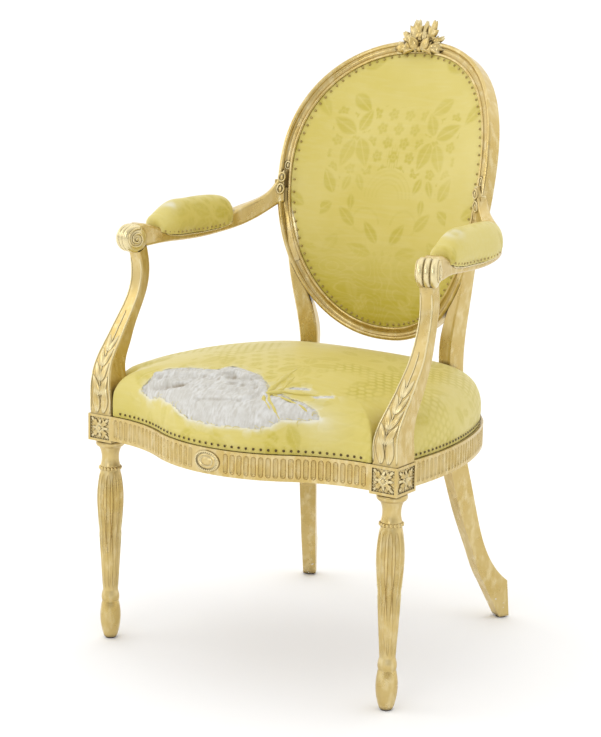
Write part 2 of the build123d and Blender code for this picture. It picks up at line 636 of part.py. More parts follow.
half, reed = ARM_WIDTH / 2, ARM_WIDTH / 6
with BuildPart() as arm_right:
    add(arm_run(0))
    with BuildSketch(scroll_plane):
        with BuildLine():
            Polyline((-half, SCROLL_RADIUS - 3.5), (-half, SCROLL_RADIUS * 0.6),
                     (1.5 - half, SCROLL_RADIUS * 0.5),
                     (1.5 - half, SCROLL_RADIUS * 0.3), (-half - 1, SCROLL_RADIUS * 0.25), (-half - 1, 0),
                     (half + 1, 0), (half + 1, SCROLL_RADIUS * 0.25), (half - 1.5, SCROLL_RADIUS * 0.3),
                     (half - 1.5, SCROLL_RADIUS * 0.5), (half, SCROLL_RADIUS * 0.6),
                     (half, SCROLL_RADIUS - 3.5))
            ThreePointArc((-half, SCROLL_RADIUS - 3.5), (-2 * reed, SCROLL_RADIUS),
                          (-reed, SCROLL_RADIUS - 2.5))
            ThreePointArc((-reed, SCROLL_RADIUS - 2.5), (0, SCROLL_RADIUS), (reed, SCROLL_RADIUS - 2.5))
            ThreePointArc((reed, SCROLL_RADIUS - 2.5), (2 * reed, SCROLL_RADIUS), (half, SCROLL_RADIUS - 3.5))
        make_face()
    revolve(axis=scroll_axis)
    with BuildSketch(Plane((dowel_x, dowel_y, SCROLL_Z - SCROLL_RADIUS - 8))):
        Circle(DOWEL_RADIUS + JOINT_CLEARANCE)
    extrude(amount=SCROLL_RADIUS + 4 + slack, mode=Mode.SUBTRACT)
    add(rear_leg_right.part, mode=Mode.SUBTRACT)
    add(crest_rail.part, mode=Mode.SUBTRACT)
    offcuts = arm_right.solids().sort_by(SortBy.VOLUME)[:-1]
    if offcuts:
        add(offcuts, mode=Mode.SUBTRACT)

# Tenon of the arm in the side of the oval

rear_end = Vector(arm_shape[-1][0], FRONT_Y + arm_shape[-1][1], arm_shape[-1][2])
into_stile = Vector(-cos(radians(REAR_CANT)), sin(radians(REAR_CANT)), 0)
tenon_foot = rear_end - into_stile * (MOULD_WIDTH / 2 + 4)


def arm_tenon(grow):
    """Upright tongue from the arm's rear end into the side of the oval."""
    with BuildPart() as tongue:
        with BuildSketch(Plane(tenon_foot, x_dir=(into_stile.Y, -into_stile.X, 0), z_dir=into_stile)):
            Rectangle(MOULD_DEPTH * 0.36 + 2 * grow, MOULD_DEPTH + 2 * grow)
        extrude(amount=ARM_TENON + 4 + grow)
    return tongue.part


with rear_leg_right:
    add(arm_tenon(JOINT_CLEARANCE), mode=Mode.SUBTRACT)
with arm_right:
    add(arm_tenon(0))
save(rear_leg_right, "rear_leg_right")
save(mirrored(rear_leg_right), "rear_leg_left")
save(arm_right, "arm_right")
save(mirrored(arm_right), "arm_left")

# Glued braces in the inner corners of the seat frame

brace_bottom = RAIL_BOTTOM + 4
with BuildPart() as corner_braces:
    with BuildSketch(Plane.XY.offset(brace_bottom)):
        corner_x, corner_y = HALF_SPAN - JOINT_CLEARANCE, FRONT_Y + BLOCK_DEPTH / 2 + JOINT_CLEARANCE
        inside_x = side_tenon_x - RAIL_THICK / 2
        with BuildLine():
            Polyline((corner_x, FACE_Y + RAIL_THICK / 2), (corner_x, corner_y), (inside_x + 12, corner_y),
                     (inside_x + 12, corner_y + BRACE_REACH), (inside_x - 2, corner_y + BRACE_REACH),
                     (corner_x - BRACE_REACH, FACE_Y + RAIL_THICK + 6),
                     (corner_x - BRACE_REACH, FACE_Y + RAIL_THICK / 2), close=True)
        make_face()
        add(front_rail_plan(-5, RAIL_THICK + JOINT_CLEARANCE), mode=Mode.SUBTRACT)
        add(side_rail_plan(-5, RAIL_THICK + JOINT_CLEARANCE), mode=Mode.SUBTRACT)
    extrude(amount=BRACE_HEIGHT)
    with BuildSketch(Plane.XY.offset(brace_bottom)):
        inner_front = REAR_CENTER - BACKWARD * (REAR_DEPTH / 2 + JOINT_CLEARANCE)
        outer_corner = inner_front + OUTWARD * (REAR_WIDTH / 2)
        inner_corner = inner_front - OUTWARD * (REAR_WIDTH / 2)
        rail_front = BACK_RAIL_Y - BACK_RAIL_THICK / 2 - JOINT_CLEARANCE
        with BuildLine():
            Polyline((inner_corner.X, inner_corner.Y), (outer_corner.X, outer_corner.Y),
                     (outer_corner.X + 40, outer_corner.Y), (outer_corner.X + 40, outer_corner.Y - 34),
                     (inner_corner.X - BRACE_REACH * 0.7, rail_front - 8),
                     (inner_corner.X - BRACE_REACH * 0.7, rail_front), (inner_corner.X, rail_front), close=True)
        make_face()
        add(side_rail_plan(-60, RAIL_THICK + JOINT_CLEARANCE), mode=Mode.SUBTRACT)
    extrude(amount=BRACE_HEIGHT)
    add(front_rail.part, mode=Mode.SUBTRACT)
    add(side_rail_right.part, mode=Mode.SUBTRACT)
    mirror(about=Plane.YZ)
save(corner_braces, "corner_braces")

# Seat upholstery


def seat_plan(size):
    """Plan of the seat inside its show edges, scaled about the middle of the seat."""

    def at(center, radius, angle, side):
        spot = polar(center, radius, angle)
        return (side * spot[0] * size, SEAT_MIDDLE + (spot[1] - SEAT_MIDDLE) * size)

    with BuildSketch() as plan:
        with BuildLine():
            ThreePointArc(at(BOW_CENTER, BOW_RADIUS, -90 - BOW_ANGLE, 1), at(BOW_CENTER, BOW_RADIUS, -90, 1),
                          at(BOW_CENTER, BOW_RADIUS, -90 + BOW_ANGLE, 1))
            for side in (1, -1):
                hollow = [at(HOLLOW_CENTER, BOW_RADIUS, 90 + BOW_ANGLE * part, side) for part in (1, 0.5, 0)]
                corner = at((BELLY_X, FACE_Y), 0, 0, side)
                bow = [at(SIDE_CENTER, SIDE_BOW_RADIUS, SIDE_START + (SIDE_END - SIDE_START) * part, side)
                       for part in (0, 0.5, 1)]
                turn = [at(TURN_CENTER, SIDE_TURN_RADIUS, SIDE_END + (TURN_END - SIDE_END) * part, side)
                        for part in (0, 0.5, 1)]
                ThreePointArc(*hollow)
                Polyline(hollow[2], corner, bow[0])
                ThreePointArc(*bow)
                ThreePointArc(*turn)
            Line(at(TURN_CENTER, SIDE_TURN_RADIUS, TURN_END, 1),
                 at(TURN_CENTER, SIDE_TURN_RADIUS, TURN_END, -1))
        make_face()
    return plan.sketch


seat_shape = (
    (0.5 * SEAT_SKIRT, SKIRT_SIZE),
    (SEAT_SKIRT, SKIRT_SIZE),
    (0.5 * SEAT_RISE, 0.968),
    (0.66 * SEAT_RISE, 0.925),
    (0.76 * SEAT_RISE, 0.8),
    (0.85 * SEAT_RISE, 0.64),
    (0.94 * SEAT_RISE, 0.42),
    (SEAT_RISE, 0.16),
)


def seat_dome(inset, bottom):
    """Crowned seat from a level above the rails, drawn in by an inset all round."""
    with BuildPart() as dome:
        with BuildSketch(Plane.XY.offset(RAIL_TOP + bottom)):
            add(seat_plan(SKIRT_SIZE - inset / 250))
        for rise, size in seat_shape:
            if rise > bottom + 4:
                with BuildSketch(Plane.XY.offset(RAIL_TOP + rise - inset)):
                    add(seat_plan(size - inset / 250))
        loft(ruled=True)
    return dome.part


seat_room = [support_run(WRAP_CLEARANCE), stile_run(WRAP_CLEARANCE)]
base_bottom = UPSTAND_TOP + 2 * STRAP_THICK
stuffing_bottom = UPSTAND + 2 * STRAP_THICK + BASE_CLOTH + SOFT_CLEARANCE
seat_inside = seat_dome(COVER_THICK, -4)
with BuildPart() as seat_cover:
    add(seat_dome(0, SOFT_CLEARANCE))
    add(seat_inside, mode=Mode.SUBTRACT)
    with Locations((0, BACK_RAIL_Y, UPSTAND_TOP + SOFT_CLEARANCE)):
        Box(2 * REAR_CENTER.X, BACK_RAIL_THICK * 2, 2 * RAIL_HEIGHT,
            align=(Align.CENTER, Align.CENTER, Align.MAX), mode=Mode.SUBTRACT)
    for room in seat_room:
        add(room, mode=Mode.SUBTRACT)
        add(mirror(room, about=Plane.YZ), mode=Mode.SUBTRACT)
save(seat_cover, "seat_cover")

with BuildPart() as seat_stuffing:
    add(seat_dome(COVER_THICK + SOFT_CLEARANCE, stuffing_bottom))
    for room in seat_room:
        add(room, mode=Mode.SUBTRACT)
        add(mirror(room, about=Plane.YZ), mode=Mode.SUBTRACT)
save(seat_stuffing, "seat_stuffing")

with BuildPart() as web_room:
    with BuildSketch(Plane.XY.offset(UPSTAND_TOP)):
        add(seat_plan(WEB_SIZE))
        with Locations((LEG_X, FRONT_Y), (-LEG_X, FRONT_Y)):
            Rectangle(BLOCK_WIDTH + 6, BLOCK_DEPTH + 6, mode=Mode.SUBTRACT)
    extrude(amount=2 * STRAP_THICK + BASE_CLOTH)
    for room in seat_room:
        add(room, mode=Mode.SUBTRACT)
        add(mirror(room, about=Plane.YZ), mode=Mode.SUBTRACT)

with BuildPart() as seat_webbing_long:
    with BuildSketch(Plane.XY.offset(UPSTAND_TOP)):
        with GridLocations(STRAP_WIDTH * 1.45, 1, 4, 1):
            with Locations((0, SEAT_MIDDLE)):
                Rectangle(STRAP_WIDTH, 900)
    extrude(amount=STRAP_THICK)
    add(web_room.part, mode=Mode.INTERSECT)
save(seat_webbing_long, "seat_webbing_long")

with BuildPart() as seat_webbing_cross:
    with BuildSketch(Plane.XY.offset(UPSTAND_TOP + STRAP_THICK)):
        with Locations(*[(0, SEAT_MIDDLE + STRAP_WIDTH * 1.45 * (step - 1)) for step in range(4)]):
            Rectangle(900, STRAP_WIDTH)
    extrude(amount=STRAP_THICK)
    add(web_room.part, mode=Mode.INTERSECT)
save(seat_webbing_cross, "seat_webbing_cross")

with BuildPart() as seat_base_cloth:
    with BuildSketch(Plane.XY.offset(base_bottom)):
        add(seat_plan(WEB_SIZE))
    extrude(amount=BASE_CLOTH)
    add(web_room.part, mode=Mode.INTERSECT)
save(seat_base_cloth, "seat_base_cloth")

# Back upholstery, as level slices through the dished oval


def back_slab(front, back, crown, hollow, gap, levels):
    """Panel inside the oval between two depths, its front crowned and its back hollowed at the middle."""
    with BuildPart() as slab:
        for level in levels:
            z = OVAL_Z + (OVAL_HALF_HEIGHT - gap) * level
            side = oval_width(level, -gap)
            swell, sink = crown * (1 - level**2), hollow * (1 - level**2)
            edge, middle = back_y(side, z), back_y(0, z)
            with BuildSketch(Plane.XY.offset(z)):
                with BuildLine():
                    ThreePointArc((-side, edge + front), (0, middle + front - swell), (side, edge + front))
                    Line((side, edge + front), (side, edge + back))
                    ThreePointArc((side, edge + back), (0, middle + back - sink), (-side, edge + back))
                    Line((-side, edge + back), (-side, edge + front))
                make_face()
        loft(ruled=True)
    return slab.part


rising = (0.2, 0.4, 0.58, 0.74, 0.86, 0.93, 0.97, 0.99)
slices = [-level for level in reversed(rising)] + [0, *rising]
crest_room = oval_room(CREST_JOINT, 180 - CREST_JOINT, RAIL_SECTIONS)
with BuildPart() as back_cover:
    add(back_slab(COVER_SET, COVER_SET + COVER_THICK, BACK_CROWN, BACK_CROWN, PAD_GAP, slices))
    add(crest_room, mode=Mode.SUBTRACT)
save(back_cover, "back_cover")
pad_front = COVER_SET + COVER_THICK + SOFT_CLEARANCE
with BuildPart() as back_stuffing:
    add(back_slab(pad_front, pad_front + BACK_PAD_DEPTH, BACK_CROWN, 0, PAD_GAP, slices))
    add(crest_room, mode=Mode.SUBTRACT)
save(back_stuffing, "back_stuffing")
with BuildPart() as outside_back_cover:
    add(back_slab(MOULD_DEPTH - 2, MOULD_DEPTH - 2 + COVER_THICK, 0, 0, PAD_GAP, slices))
    add(crest_room, mode=Mode.SUBTRACT)
save(outside_back_cover, "outside_back_cover")

web_front = pad_front + BACK_PAD_DEPTH + SOFT_CLEARANCE
with BuildPart() as back_webbing:
    with BuildSketch(Plane.XZ):
        with Locations((STRAP_WIDTH, OVAL_Z), (-STRAP_WIDTH, OVAL_Z)):
            Rectangle(STRAP_WIDTH, 3 * OVAL_HALF_HEIGHT)
        with Locations((0, OVAL_Z + 1.4 * STRAP_WIDTH), (0, OVAL_Z - 1.4 * STRAP_WIDTH)):
            Rectangle(3 * OVAL_HALF_WIDTH, STRAP_WIDTH)
    extrude(amount=2 * BACK_SET, both=True)
    add(back_slab(web_front, web_front + STRAP_THICK, 0, 0, PAD_GAP, slices), mode=Mode.INTERSECT)
    add(crest_room, mode=Mode.SUBTRACT)
save(back_webbing, "back_webbing")

# Arm pads, as upright slices along the arm

pad_shape = (
    (1.55, 16, 0.42, 0.34),
    (1.75, 13, 0.7, 0.58),
    (2.1, 4, 0.93, 0.88),
    (2.8, 0, 1, 1),
    (4, 0, 1, 1),
    (4.75, 2, 0.97, 0.95),
    (5.3, 9, 0.8, 0.72),
    (5.55, 14, 0.55, 0.42),
)


def arm_at(place):
    """Plan point, level and direction on the arm between its stations."""
    index = int(place)
    part = place - index
    near, far = arm_shape[index], arm_shape[index + 1]
    spot = [a + (b - a) * part for a, b in zip(near[:3], far[:3])]
    before, after = arm_plane(index), arm_plane(index + 1)
    along = before.z_dir * (1 - part) + after.z_dir * part
    return spot, along


def pad_run(inset, drop):
    """Padded arm rest, drawn in by an inset and its open underside lowered by a drop."""
    low = ARM_BOTTOM + ARM_THICK - PAD_OVERLAP
    with BuildPart() as run:
        for place, lift, wide, tall in pad_shape:
            (x, back, z), along = arm_at(place)
            side = PAD_WIDTH / 2 * wide - inset
            top = (PAD_HEIGHT + PAD_OVERLAP) * tall - lift * 0.3 - inset
            spot = (x, FRONT_Y + back, low + lift)
            with BuildSketch(Plane(spot, x_dir=(-along.Y, along.X, 0), z_dir=along)):
                with BuildLine():
                    Polyline((-side * 0.9, 0), (-side * 0.9, -drop), (side * 0.9, -drop), (side * 0.9, 0))
                    ThreePointArc((side * 0.9, 0), (side, top * 0.42), (side * 0.74, top * 0.8))
                    ThreePointArc((side * 0.74, top * 0.8), (0, top), (-side * 0.74, top * 0.8))
                    ThreePointArc((-side * 0.74, top * 0.8), (-side, top * 0.42), (-side * 0.9, 0))
                make_face()
        loft()
    return run.part


arm_room = arm_run(WRAP_CLEARANCE)
with BuildPart() as arm_pad_cover_right:
    add(pad_run(0, 1))
    add(pad_run(COVER_THICK, 6), mode=Mode.SUBTRACT)
    add(arm_room, mode=Mode.SUBTRACT)
with BuildPart() as arm_pad_stuffing_right:
    add(pad_run(COVER_THICK + WRAP_CLEARANCE, 1))
    add(arm_room, mode=Mode.SUBTRACT)
for pad, name in ((arm_pad_cover_right, "arm_pad_cover"), (arm_pad_stuffing_right, "arm_pad_stuffing")):
    save(pad, name + "_right")
    save(mirrored(pad), name + "_left")

# Tacks, each as its domed head on the cover

with BuildPart() as tack:
    with Locations((0, 0, -DOME_SINK)):
        Sphere(hypot(TACK_RADIUS, DOME_SINK))
    split(bisect_by=Plane.XY, keep=Keep.TOP)

seat_tack_z = RAIL_TOP + SEAT_TACK_RISE


def seat_edge(center, radius, angle, side, facing):
    """Place on the skirt of the seat with its outward direction."""
    spot = polar(center, radius, angle)
    out = polar((0, 0), facing, angle)
    point = Vector(side * spot[0] * SKIRT_SIZE, SEAT_MIDDLE + (spot[1] - SEAT_MIDDLE) * SKIRT_SIZE,
                   seat_tack_z)
    normal = Vector(side * out[0], out[1], 0)
    return Plane(point + normal * TACK_LIFT, z_dir=normal).location


seat_tack_spots = []
for side in (1, -1):
    for part in spaced(bow_length, TACK_PITCH):
        seat_tack_spots.append(seat_edge(BOW_CENTER, BOW_RADIUS, -90 + part * BOW_ANGLE, side, 1))
    for part in spaced(bow_length, TACK_PITCH):
        angle = 90 + (0.06 + 0.94 * part) * BOW_ANGLE
        seat_tack_spots.append(seat_edge(HOLLOW_CENTER, BOW_RADIUS, angle, side, -1))
    for part in spaced(side_length, TACK_PITCH):
        angle = SIDE_START + (0.03 + 0.97 * part) * (SIDE_END - SIDE_START)
        seat_tack_spots.append(seat_edge(SIDE_CENTER, SIDE_BOW_RADIUS, angle, side, 1))
    for part in spaced(turn_length, TACK_PITCH):
        angle = SIDE_END + part * 0.97 * (TURN_END - SIDE_END)
        seat_tack_spots.append(seat_edge(TURN_CENTER, SIDE_TURN_RADIUS, angle, side, 1))
with BuildPart() as seat_tacks:
    with Locations(*seat_tack_spots):
        add(tack.part)
save(seat_tacks, "seat_tacks")


def cover_y(x, z):
    """Front of the back's cover."""
    level = (z - OVAL_Z) / (OVAL_HALF_HEIGHT - PAD_GAP)
    side = oval_width(level, -PAD_GAP)
    edge, middle = back_y(side, z), back_y(0, z) - BACK_CROWN * (1 - level**2)
    return edge + COVER_SET + (middle - edge) * (1 - (x / side) ** 2)


back_tack_spots = []
for step in range(96):
    angle = (step + 0.5) * 360 / 96
    spot = oval_point(angle, -BACK_TACK_INSET)
    slope_x, slope_z = -spot.X / BACK_DISH_RADIUS, (spot.Z - BACK_WAIST_Z) / BACK_SWEEP_RADIUS
    point = Vector(spot.X, cover_y(spot.X, spot.Z) - TACK_LIFT, spot.Z)
    back_tack_spots.append(Plane(point, z_dir=(slope_x, -1, slope_z)).location)
with BuildPart() as back_tacks:
    with Locations(*back_tack_spots):
        add(tack.part)
save(back_tacks, "back_tacks")

arm_tack_spots = []
for step in range(15):
    place = 2.1 + step * 2.75 / 14
    (x, back, z), along = arm_at(place)
    across = Vector(along.Y, -along.X, 0).normalized()
    index = max(i for i, row in enumerate(pad_shape[:-1]) if row[0] <= place)
    near, far = pad_shape[index], pad_shape[index + 1]
    share = (place - near[0]) / (far[0] - near[0])
    lift, wide, tall = [a + (b - a) * share for a, b in zip(near[1:], far[1:])]
    bulge = 1 - min(1, 4 / (0.42 * (PAD_HEIGHT + PAD_OVERLAP) * tall))
    reach = PAD_WIDTH / 2 * wide * (1 - 0.1 * bulge**2) + TACK_LIFT
    for side in (1, -1):
        point = Vector(x, FRONT_Y + back, ARM_BOTTOM + ARM_THICK - PAD_OVERLAP + lift + 4)
        arm_tack_spots.append(Plane(point + across * (side * reach), z_dir=across * side).location)
with BuildPart() as arm_pad_tacks:
    with Locations(*arm_tack_spots):
        add(tack.part)
    mirror(about=Plane.YZ)
save(arm_pad_tacks, "arm_pad_tacks")

# Carved ornaments

with BuildPart() as rail_patera:
    face = FACE_Y - SERPENTINE
    with BuildSketch(Plane((0, face + 5, flute_z), x_dir=(1, 0, 0), z_dir=(0, -1, 0))):
        Ellipse(PATERA_WIDTH / 2, PATERA_HEIGHT / 2)
    extrude(amount=8)
    with BuildSketch(Plane((0, face - 2, flute_z), x_dir=(1, 0, 0), z_dir=(0, -1, 0))):
        Ellipse(PATERA_WIDTH * 0.3, PATERA_HEIGHT * 0.28)
    extrude(amount=3)
    with BuildSketch(Plane.XY.offset(RAIL_BOTTOM - 5)):
        add(arc_band(BOW_CENTER, BOW_RADIUS - 12, BOW_RADIUS + JOINT_CLEARANCE, -90 - BOW_ANGLE,
                     2 * BOW_ANGLE))
    extrude(amount=RAIL_HEIGHT + 10, mode=Mode.SUBTRACT)
save(rail_patera, "rail_patera")

with BuildPart() as rosette:
    size = min(BLOCK_WIDTH, RAIL_TOP - block_bottom) / 2 - PANEL_MARGIN - 2
    with PolarLocations(size * 0.55, 8):
        Cylinder(size * 0.3, 3, align=(Align.CENTER, Align.CENTER, Align.MIN))
    Cylinder(size * 0.6, 2.6, align=(Align.CENTER, Align.CENTER, Align.MIN))
    with Locations((0, 0, 1.6)):
        Sphere(size * 0.22)
    with Locations((0, 0, -10)):
        Cylinder(3 * size, 20, mode=Mode.SUBTRACT)
with BuildPart() as corner_rosettes:
    add(rosette.part.moved(Plane((LEG_X, FACE_Y + PANEL_DEPTH, panel_z), z_dir=(0, -1, 0)).location))
    outer_panel = Plane((LEG_X + BLOCK_WIDTH / 2 - PANEL_DEPTH, FRONT_Y, panel_z), z_dir=(1, 0, 0))
    add(rosette.part.moved(outer_panel.location))
    mirror(about=Plane.YZ)
save(corner_rosettes, "corner_rosettes")

with BuildPart() as husk:
    Sphere(HUSK_RADIUS)
    split(bisect_by=Plane.XY, keep=Keep.TOP)
with BuildPart() as husk_carvings:
    for step in range(3):
        spot = oval_plane(CREST_JOINT - 6 + 4.1 * step)
        middle = spot.from_local_coords((MOULD_WIDTH * 0.45, -0.6, 0))
        cup = scale(husk.part, by=1 - 0.18 * step, mode=Mode.PRIVATE)
        add(cup.moved(Plane(middle, z_dir=-spot.y_dir).location))
    add(arm_right.part, mode=Mode.SUBTRACT)
    mirror(about=Plane.YZ)
save(husk_carvings, "husk_carvings")

crest_foot_z = OVAL_Z + OVAL_HALF_HEIGHT


def leaf(lean, length, wide):
    """Pointed leaf standing on the origin and leaning to one side."""

    def turned(x, y):
        turn = radians(lean)
        return (x * cos(turn) - y * sin(turn), x * sin(turn) + y * cos(turn))

    with BuildSketch() as blade:
        with BuildLine():
            ThreePointArc(turned(0, 0), turned(wide / 2, length * 0.55), turned(0, length))
            ThreePointArc(turned(0, length), turned(-wide / 2, length * 0.55), turned(0, 0))
        make_face()
    return blade.sketch


with BuildPart() as crest_carving:
    crest_y = back_y(0, crest_foot_z)
    with BuildSketch(Plane((0, crest_y + 16, crest_foot_z), x_dir=(1, 0, 0), z_dir=(0, -1, 0))):
        for lean, length, wide in (
            (0, 1, 0.3), (22, 0.98, 0.27), (-22, 0.98, 0.27), (64, 0.92, 0.3), (-64, 0.92, 0.3),
        ):
            add(leaf(lean, CREST_RISE * length, CREST_RISE * wide))
        Circle(CREST_RISE * 0.25)
    extrude(amount=21)
    with Locations((0, crest_y, crest_foot_z + 2)):
        Box(4 * CREST_RISE, 4 * MOULD_DEPTH, CREST_RISE, align=(Align.CENTER, Align.CENTER, Align.MAX),
            mode=Mode.SUBTRACT)
    add(crest_run, mode=Mode.SUBTRACT)
    scraps = crest_carving.solids().sort_by(SortBy.VOLUME)[:-1]
    if scraps:
        add(scraps, mode=Mode.SUBTRACT)
save(crest_carving, "crest_carving")

# Glides under the feet

rear_foot = REAR_CENTER + BACKWARD * FOOT_REACH
with BuildPart() as foot_glides:
    for side in (1, -1):
        with Locations((side * LEG_X, FRONT_Y, 0), (side * rear_foot.X, rear_foot.Y, 0)):
            Cylinder(GLIDE_RADIUS, GLIDE_HEIGHT, align=(Align.CENTER, Align.CENTER, Align.MIN))
save(foot_glides, "foot_glides")
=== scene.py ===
# %% [markdown]
# # An oval-back open armchair
# The chair has a carved, gilded beech frame and a cover of yellow silk damask. The wooden pieces come
# from the construction and stay exactly where they are. This script gives them their gilding, carves
# the ornament in finer detail, and models everything soft: seat, back, arm pads and webbing.

# %% Load the frame
import math

import bmesh
import bpy
import numpy as np
from mathutils import Matrix, Vector, noise
from mathutils.bvhtree import BVHTree


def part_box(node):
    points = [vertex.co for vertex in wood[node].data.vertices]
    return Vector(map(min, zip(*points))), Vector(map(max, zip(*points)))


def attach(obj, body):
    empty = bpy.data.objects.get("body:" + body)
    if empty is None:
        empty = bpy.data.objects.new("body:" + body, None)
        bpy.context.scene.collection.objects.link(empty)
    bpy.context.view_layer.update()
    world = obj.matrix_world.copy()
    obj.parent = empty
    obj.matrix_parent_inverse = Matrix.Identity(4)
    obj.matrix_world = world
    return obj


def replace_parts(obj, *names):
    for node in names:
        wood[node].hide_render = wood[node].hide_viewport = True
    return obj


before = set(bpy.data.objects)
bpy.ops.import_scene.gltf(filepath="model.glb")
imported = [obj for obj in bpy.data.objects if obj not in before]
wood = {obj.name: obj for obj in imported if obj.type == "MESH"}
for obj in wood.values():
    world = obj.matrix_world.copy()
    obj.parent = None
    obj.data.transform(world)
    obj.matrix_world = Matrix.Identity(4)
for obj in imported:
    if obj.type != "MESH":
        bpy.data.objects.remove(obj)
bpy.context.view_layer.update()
MM = 0.001
QUARTER, ROUND = math.pi / 2, 2 * math.pi


def circle(count):
    """Angles of even steps round a circle."""
    return [ROUND * t / count for t in range(count)]


def new_object(name, data):
    """A new object in the scene."""
    made = bpy.data.objects.new(name, data)
    bpy.context.scene.collection.objects.link(made)
    return made


# %% [markdown]
# The photograph looks down a little on the chair, from in front and well over to one side. The camera is
# placed from its azimuth, elevation and roll, because Blender's own tracking tools would lose the
# small roll.

# %% Camera
AZIMUTH, ELEVATION, ROLL = math.radians(33.918), math.radians(11.533), math.radians(1.117)
EYE = (1.60323, -2.44157, 1.03020)
camera_data = bpy.data.cameras.new("Camera")
camera_data.lens = 93.886
camera_data.sensor_width = 36
camera = new_object("Camera", camera_data)
to_eye = Vector((math.sin(AZIMUTH) * math.cos(ELEVATION), -math.cos(AZIMUTH) * math.cos(ELEVATION),
                 math.sin(ELEVATION)))
level_right = (-to_eye).cross(Vector((0, 0, 1))).normalized()
level_up = level_right.cross(-to_eye)
right = level_right * math.cos(ROLL) + level_up * math.sin(ROLL)
up = level_up * math.cos(ROLL) - level_right * math.sin(ROLL)
stand = Matrix((right, up, to_eye)).transposed().to_4x4()
stand.translation = EYE
camera.matrix_world = stand
bpy.context.scene.camera = camera
print("camera lens", round(camera_data.lens, 2))

# %% [markdown]
# Every finish is a small node tree. These helpers start a tree, add a node and join sockets, so that
# each material below reads as a list of what is seen on the real surface.

# %% Finish helpers


def new_finish(name):
    """A new node material with its shader."""
    finish = bpy.data.materials.new(name)
    finish.use_nodes = True
    print("finish:", name)
    return finish, finish.node_tree, finish.node_tree.nodes["Principled BSDF"]


def feed(tree, made, inputs):
    """Give a node its inputs, as numbers, colours or sockets."""
    for key, value in inputs.items():
        if isinstance(value, bpy.types.NodeSocket):
            tree.links.new(value, made.inputs[key])
        else:
            made.inputs[key].default_value = value


def node(tree, kind, inputs=(), **settings):
    """A node with its settings and inputs."""
    made = tree.nodes.new("ShaderNode" + kind)
    for key, value in settings.items():
        setattr(made, key, value)
    feed(tree, made, dict(inputs))
    return made


def ramp(tree, value, low, high, to_low=0.0, to_high=1.0):
    """A value stretched so that low and high become two other values."""
    limits = {"From Min": low, "From Max": high, "To Min": to_low, "To Max": to_high}
    return node(tree, "MapRange", {"Value": value, **limits}).outputs["Result"]


def compute(tree, operation, first, second, clamp=False):
    """Two values put together by an operation."""
    return node(tree, "Math", {0: first, 1: second}, operation=operation, use_clamp=clamp).outputs["Value"]


def blend(tree, share, first, second):
    """Two colours mixed by a share."""
    return node(tree, "Mix", {0: share, 6: first, 7: second}, data_type="RGBA").outputs[2]


def openness(tree, distance, samples, **settings):
    """How open a place lies, low in hollows."""
    return node(tree, "AmbientOcclusion", {"Distance": distance}, samples=samples, **settings).outputs["AO"]


def cloudy(tree, scale, detail=4, stretch=None):
    """Noise over the object's own metres."""
    place = node(tree, "TexCoord").outputs["Object"]
    if stretch:
        place = node(tree, "Mapping", {"Vector": place, "Scale": stretch}).outputs["Vector"]
    return node(tree, "TexNoise", {"Vector": place, "Scale": scale, "Detail": detail}).outputs["Fac"]


def roughen(tree, shader, height, depth, strength):
    """Bump on a shader from a height."""
    bump = node(tree, "Bump", {"Height": height, "Distance": depth, "Strength": strength})
    feed(tree, shader, {"Normal": bump.outputs["Normal"]})


# %% [markdown]
# A gilded piece is photographed in a bright white tent: a white world, a white floor and four large soft
# lamps. Gold needs something darker to mirror as well, so the world falls to grey on the side where the
# photographer stands, as a real room does.

# %% Studio
ROOM_WAY = Vector((0.55, -0.82, -0.12))
TENT_WHITE, ROOM_GREY, TENT_LIGHT = (1.0, 1.0, 1.0, 1), (0.50, 0.495, 0.49, 1), 1.22
LAMPS = (("Key", (-2.3, -1.5, 2.1), 0.5, 1.5, 6), ("Front", (0.4, -3.0, 1.7), 0.6, 1.4, 15),
         ("Top", (0.2, 0.3, 2.9), 0.4, 1.8, 2), ("Left", (-2.8, 0.7, 0.8), 0.65, 1.6, 9))
FLOOR_REACH = 40
world = bpy.data.worlds.new("Studio")
bpy.context.scene.world = world
world.use_nodes = True
sky = world.node_tree
way = node(sky, "TexCoord").outputs["Generated"]
room = node(sky, "VectorMath", {0: way, 1: ROOM_WAY}, operation="DOT_PRODUCT").outputs["Value"]
tent = blend(sky, ramp(sky, room, 0.15, 0.85), TENT_WHITE, ROOM_GREY)
feed(sky, sky.nodes["Background"], {"Color": tent, "Strength": TENT_LIGHT})
bpy.context.scene.view_settings.view_transform = "Standard"

for name, place, aim_height, size, watts in LAMPS:
    light = bpy.data.lights.new(name, "AREA")
    light.size, light.energy = size, watts
    lamp = new_object(name, light)
    lamp.location = place
    lamp.rotation_euler = (Vector((0, 0, aim_height)) - Vector(place)).to_track_quat("-Z", "Y").to_euler()

studio_floor, tree, shader = new_finish("studio floor")
shade = blend(tree, cloudy(tree, 3, 2), (0.95, 0.95, 0.948, 1), (0.97, 0.97, 0.968, 1))
feed(tree, shader, {"Base Color": shade, "Roughness": 0.8})
floor_mesh = bpy.data.meshes.new("Floor")
corners = [(x * FLOOR_REACH, y * FLOOR_REACH, 0) for x, y in ((-1, -1), (1, -1), (1, 1), (-1, 1))]
floor_mesh.from_pydata(corners, [], [(0, 1, 2, 3)])
floor_mesh.materials.append(studio_floor)
floor = new_object("Floor", floor_mesh)
print("lamps:", len(LAMPS))
